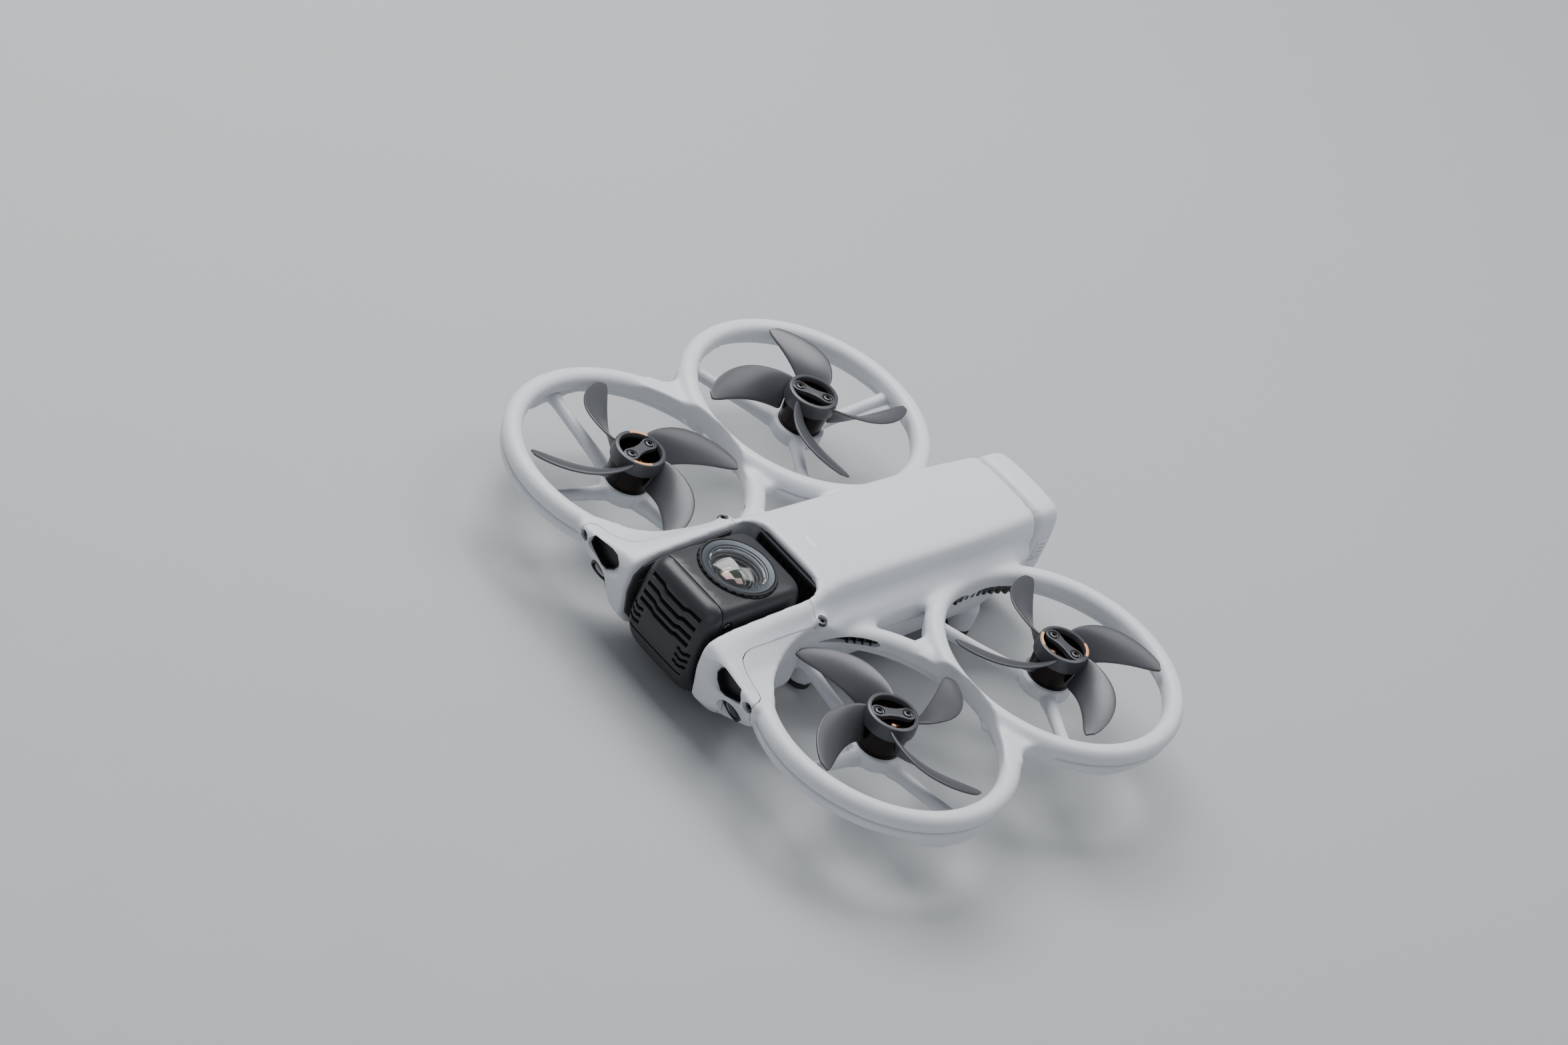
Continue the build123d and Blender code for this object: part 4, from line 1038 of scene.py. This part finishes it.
def make_vents():
    """Louvres in the front guards' inner walls and the toothed strip under the rear ones."""
    for side in ("right", "left"):
        rear = corners["rear_" + side]
        top = rear.crest - TUBE_H - 0.3
        teeth = []
        for i in range(11):
            azimuth = 150 + i * 4.2
            teeth.append(loft(*[[rear.at(r, azimuth + da, z)
                                 for da, z in ((-1.9, top), (1.9, top), (1.4, top - depth),
                                               (-0.6, top - depth * 1.1))]
                                for r, depth in ((RING_IN + 0.1, 3.0), (RING_IN + 3.4, 3.6))]))
        across = ((RING_IN + 0.15, top + 0.6), (RING_IN + 4.0, top + 0.6), (RING_IN + 4.0, top - 1.2),
                  (RING_IN + 0.15, top - 0.8))
        strip = loft(*[[rear.at(r, a, z) for r, z in across] for a in range(147, 196, 6)])
        settle(soften(join(strip, *teeth), 0.2, 2), "vent_teeth_" + side, "airframe", "black")
        front = corners["front_" + side]
        z = front.crest - LOUVRE_DROP
        blades = []
        for azimuth in range(144, 160, 4):
            blades.append(loft(*[[front.at(r, azimuth + da, zz)
                                  for da, zz in ((0, z - 1.5), (0.7, z - 1.5), (0.7, z + 1.4), (0, z + 1.4))]
                                 for r in (RING_IN + 0.3, RING_IN + 2.4)]))
        across = ((RING_IN + 2.2, z - 1.6), (RING_IN + 2.7, z - 1.6), (RING_IN + 2.7, z + 1.5),
                  (RING_IN + 2.2, z + 1.5))
        back = loft(*[[front.at(r, a, zz) for r, zz in across] for a in range(140, 174, 4)])
        settle(join(back, *blades), "vent_louvres_" + side, "airframe", "black")


def vent_mouths(shell):
    """Lens-shaped mouths in the front guards' inner walls, towards the fuselage."""
    for side in ("right", "left"):
        c = corners["front_" + side]
        z = c.crest - LOUVRE_DROP
        spans = ((140, 0.2), (142, 1.3), (148, 1.6), (156, 1.6), (164, 1.2), (170, 0.6), (174, 0.15))
        carve(shell, loft(*[[c.at(RING_IN - 2, a, z - h), c.at(RING_IN + 2.5, a, z - h),
                             c.at(RING_IN + 2.5, a, z + h), c.at(RING_IN - 2, a, z + h)] for a, h in spans]))


def dress_frame_nodes():
    """The frame's own nodes keep their shape and take a finish."""
    wear = {"camera_pivots": "steel", "fan_frame": "black", "fan_rotor": "liner", "main_board": "board",
            "heat_sink": "sink", "foot_pads": "rubber", "status_light": "light",
            "belly_sensor_window": "window"}
    wear.update({"motor_stator_" + key: "steel" for key in KEYS})
    for node, finish in wear.items():
        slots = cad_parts[node].data.materials
        slots.clear()
        slots.append(FINISH[finish])


# ------------------------ studio
def make_studio():
    floor = primitive("plane", size=8.0)
    floor.name = "studio_floor"
    paint = Finish("Pale_floor")
    paint.colour(paint.mix(paint.noise(3.0), (0.40, 0.415, 0.42), (0.43, 0.445, 0.45)))
    paint.rough(paint.noise(40.0) * 0.1 + 0.6)
    floor.data.materials.append(paint.material)
    world = bpy.data.worlds.new("soft_dome")
    bpy.context.scene.world = world
    world.use_nodes = True
    sky = world.node_tree.nodes["Background"]
    sky.inputs["Color"].default_value = (0.86, 0.92, 1.0, 1.0)
    sky.inputs["Strength"].default_value = 0.34
    for name, place, size, power in (("key_softbox", (-0.75, 0.15, 1.25), 1.0, 27.0),
                                     ("top_softbox", (0.15, 0.85, 1.5), 0.9, 10.0),
                                     ("front_fill", (0.9, -0.9, 0.7), 0.9, 2.0)):
        lamp = bpy.data.lights.new(name, "AREA")
        lamp.shape, lamp.size, lamp.energy = "SQUARE", size, power
        holder = bpy.data.objects.new(name, lamp)
        bpy.context.scene.collection.objects.link(holder)
        holder.location = place
        holder.rotation_euler = Vector(place).to_track_quat("Z", "Y").to_euler()


def make_camera():
    """Long lens above the front right corner, rolled so the nose points down and left."""
    azimuth, elevation, roll = radians(32.20), radians(35.25), radians(25.91)
    eye = bpy.data.cameras.new("camera")
    eye.sensor_width, eye.lens = 36.0, 112.87
    eye.clip_start, eye.clip_end = 0.05, 50.0
    holder = bpy.data.objects.new("camera", eye)
    bpy.context.scene.collection.objects.link(holder)
    turn = (Matrix.Rotation(azimuth, 4, "Z") @ Matrix.Rotation(pi / 2 - elevation, 4, "X")
            @ Matrix.Rotation(roll, 4, "Z"))
    holder.matrix_world = Matrix.Translation((0.75307, -1.24473, 1.06682)) @ turn
    bpy.context.scene.camera = holder


make_studio()
make_camera()
shell, covers = make_frame()
RING_NODES = ["guard_ring_" + key for key in KEYS]
settle(shell, "frame_shell", "airframe", "shell",
       replaces=RING_NODES + ["hull_upper", "side_gusset_right", "side_gusset_left"], smooth=60)
for side, cover in zip(("right", "left"), covers):
    settle(cover, "nose_cover_" + side, "airframe", "shell",
           replaces=["front_arm_" + side], smooth=60)
settle(make_lower_frame(), "belly_frame", "airframe", "shell", replaces=["hull_lower"],
       smooth=50)
for corner in corners.values():
    make_rotor(corner)
make_camera_block()
make_nose_parts()
make_bay_liners()
make_battery()
make_vents()
dress_frame_nodes()
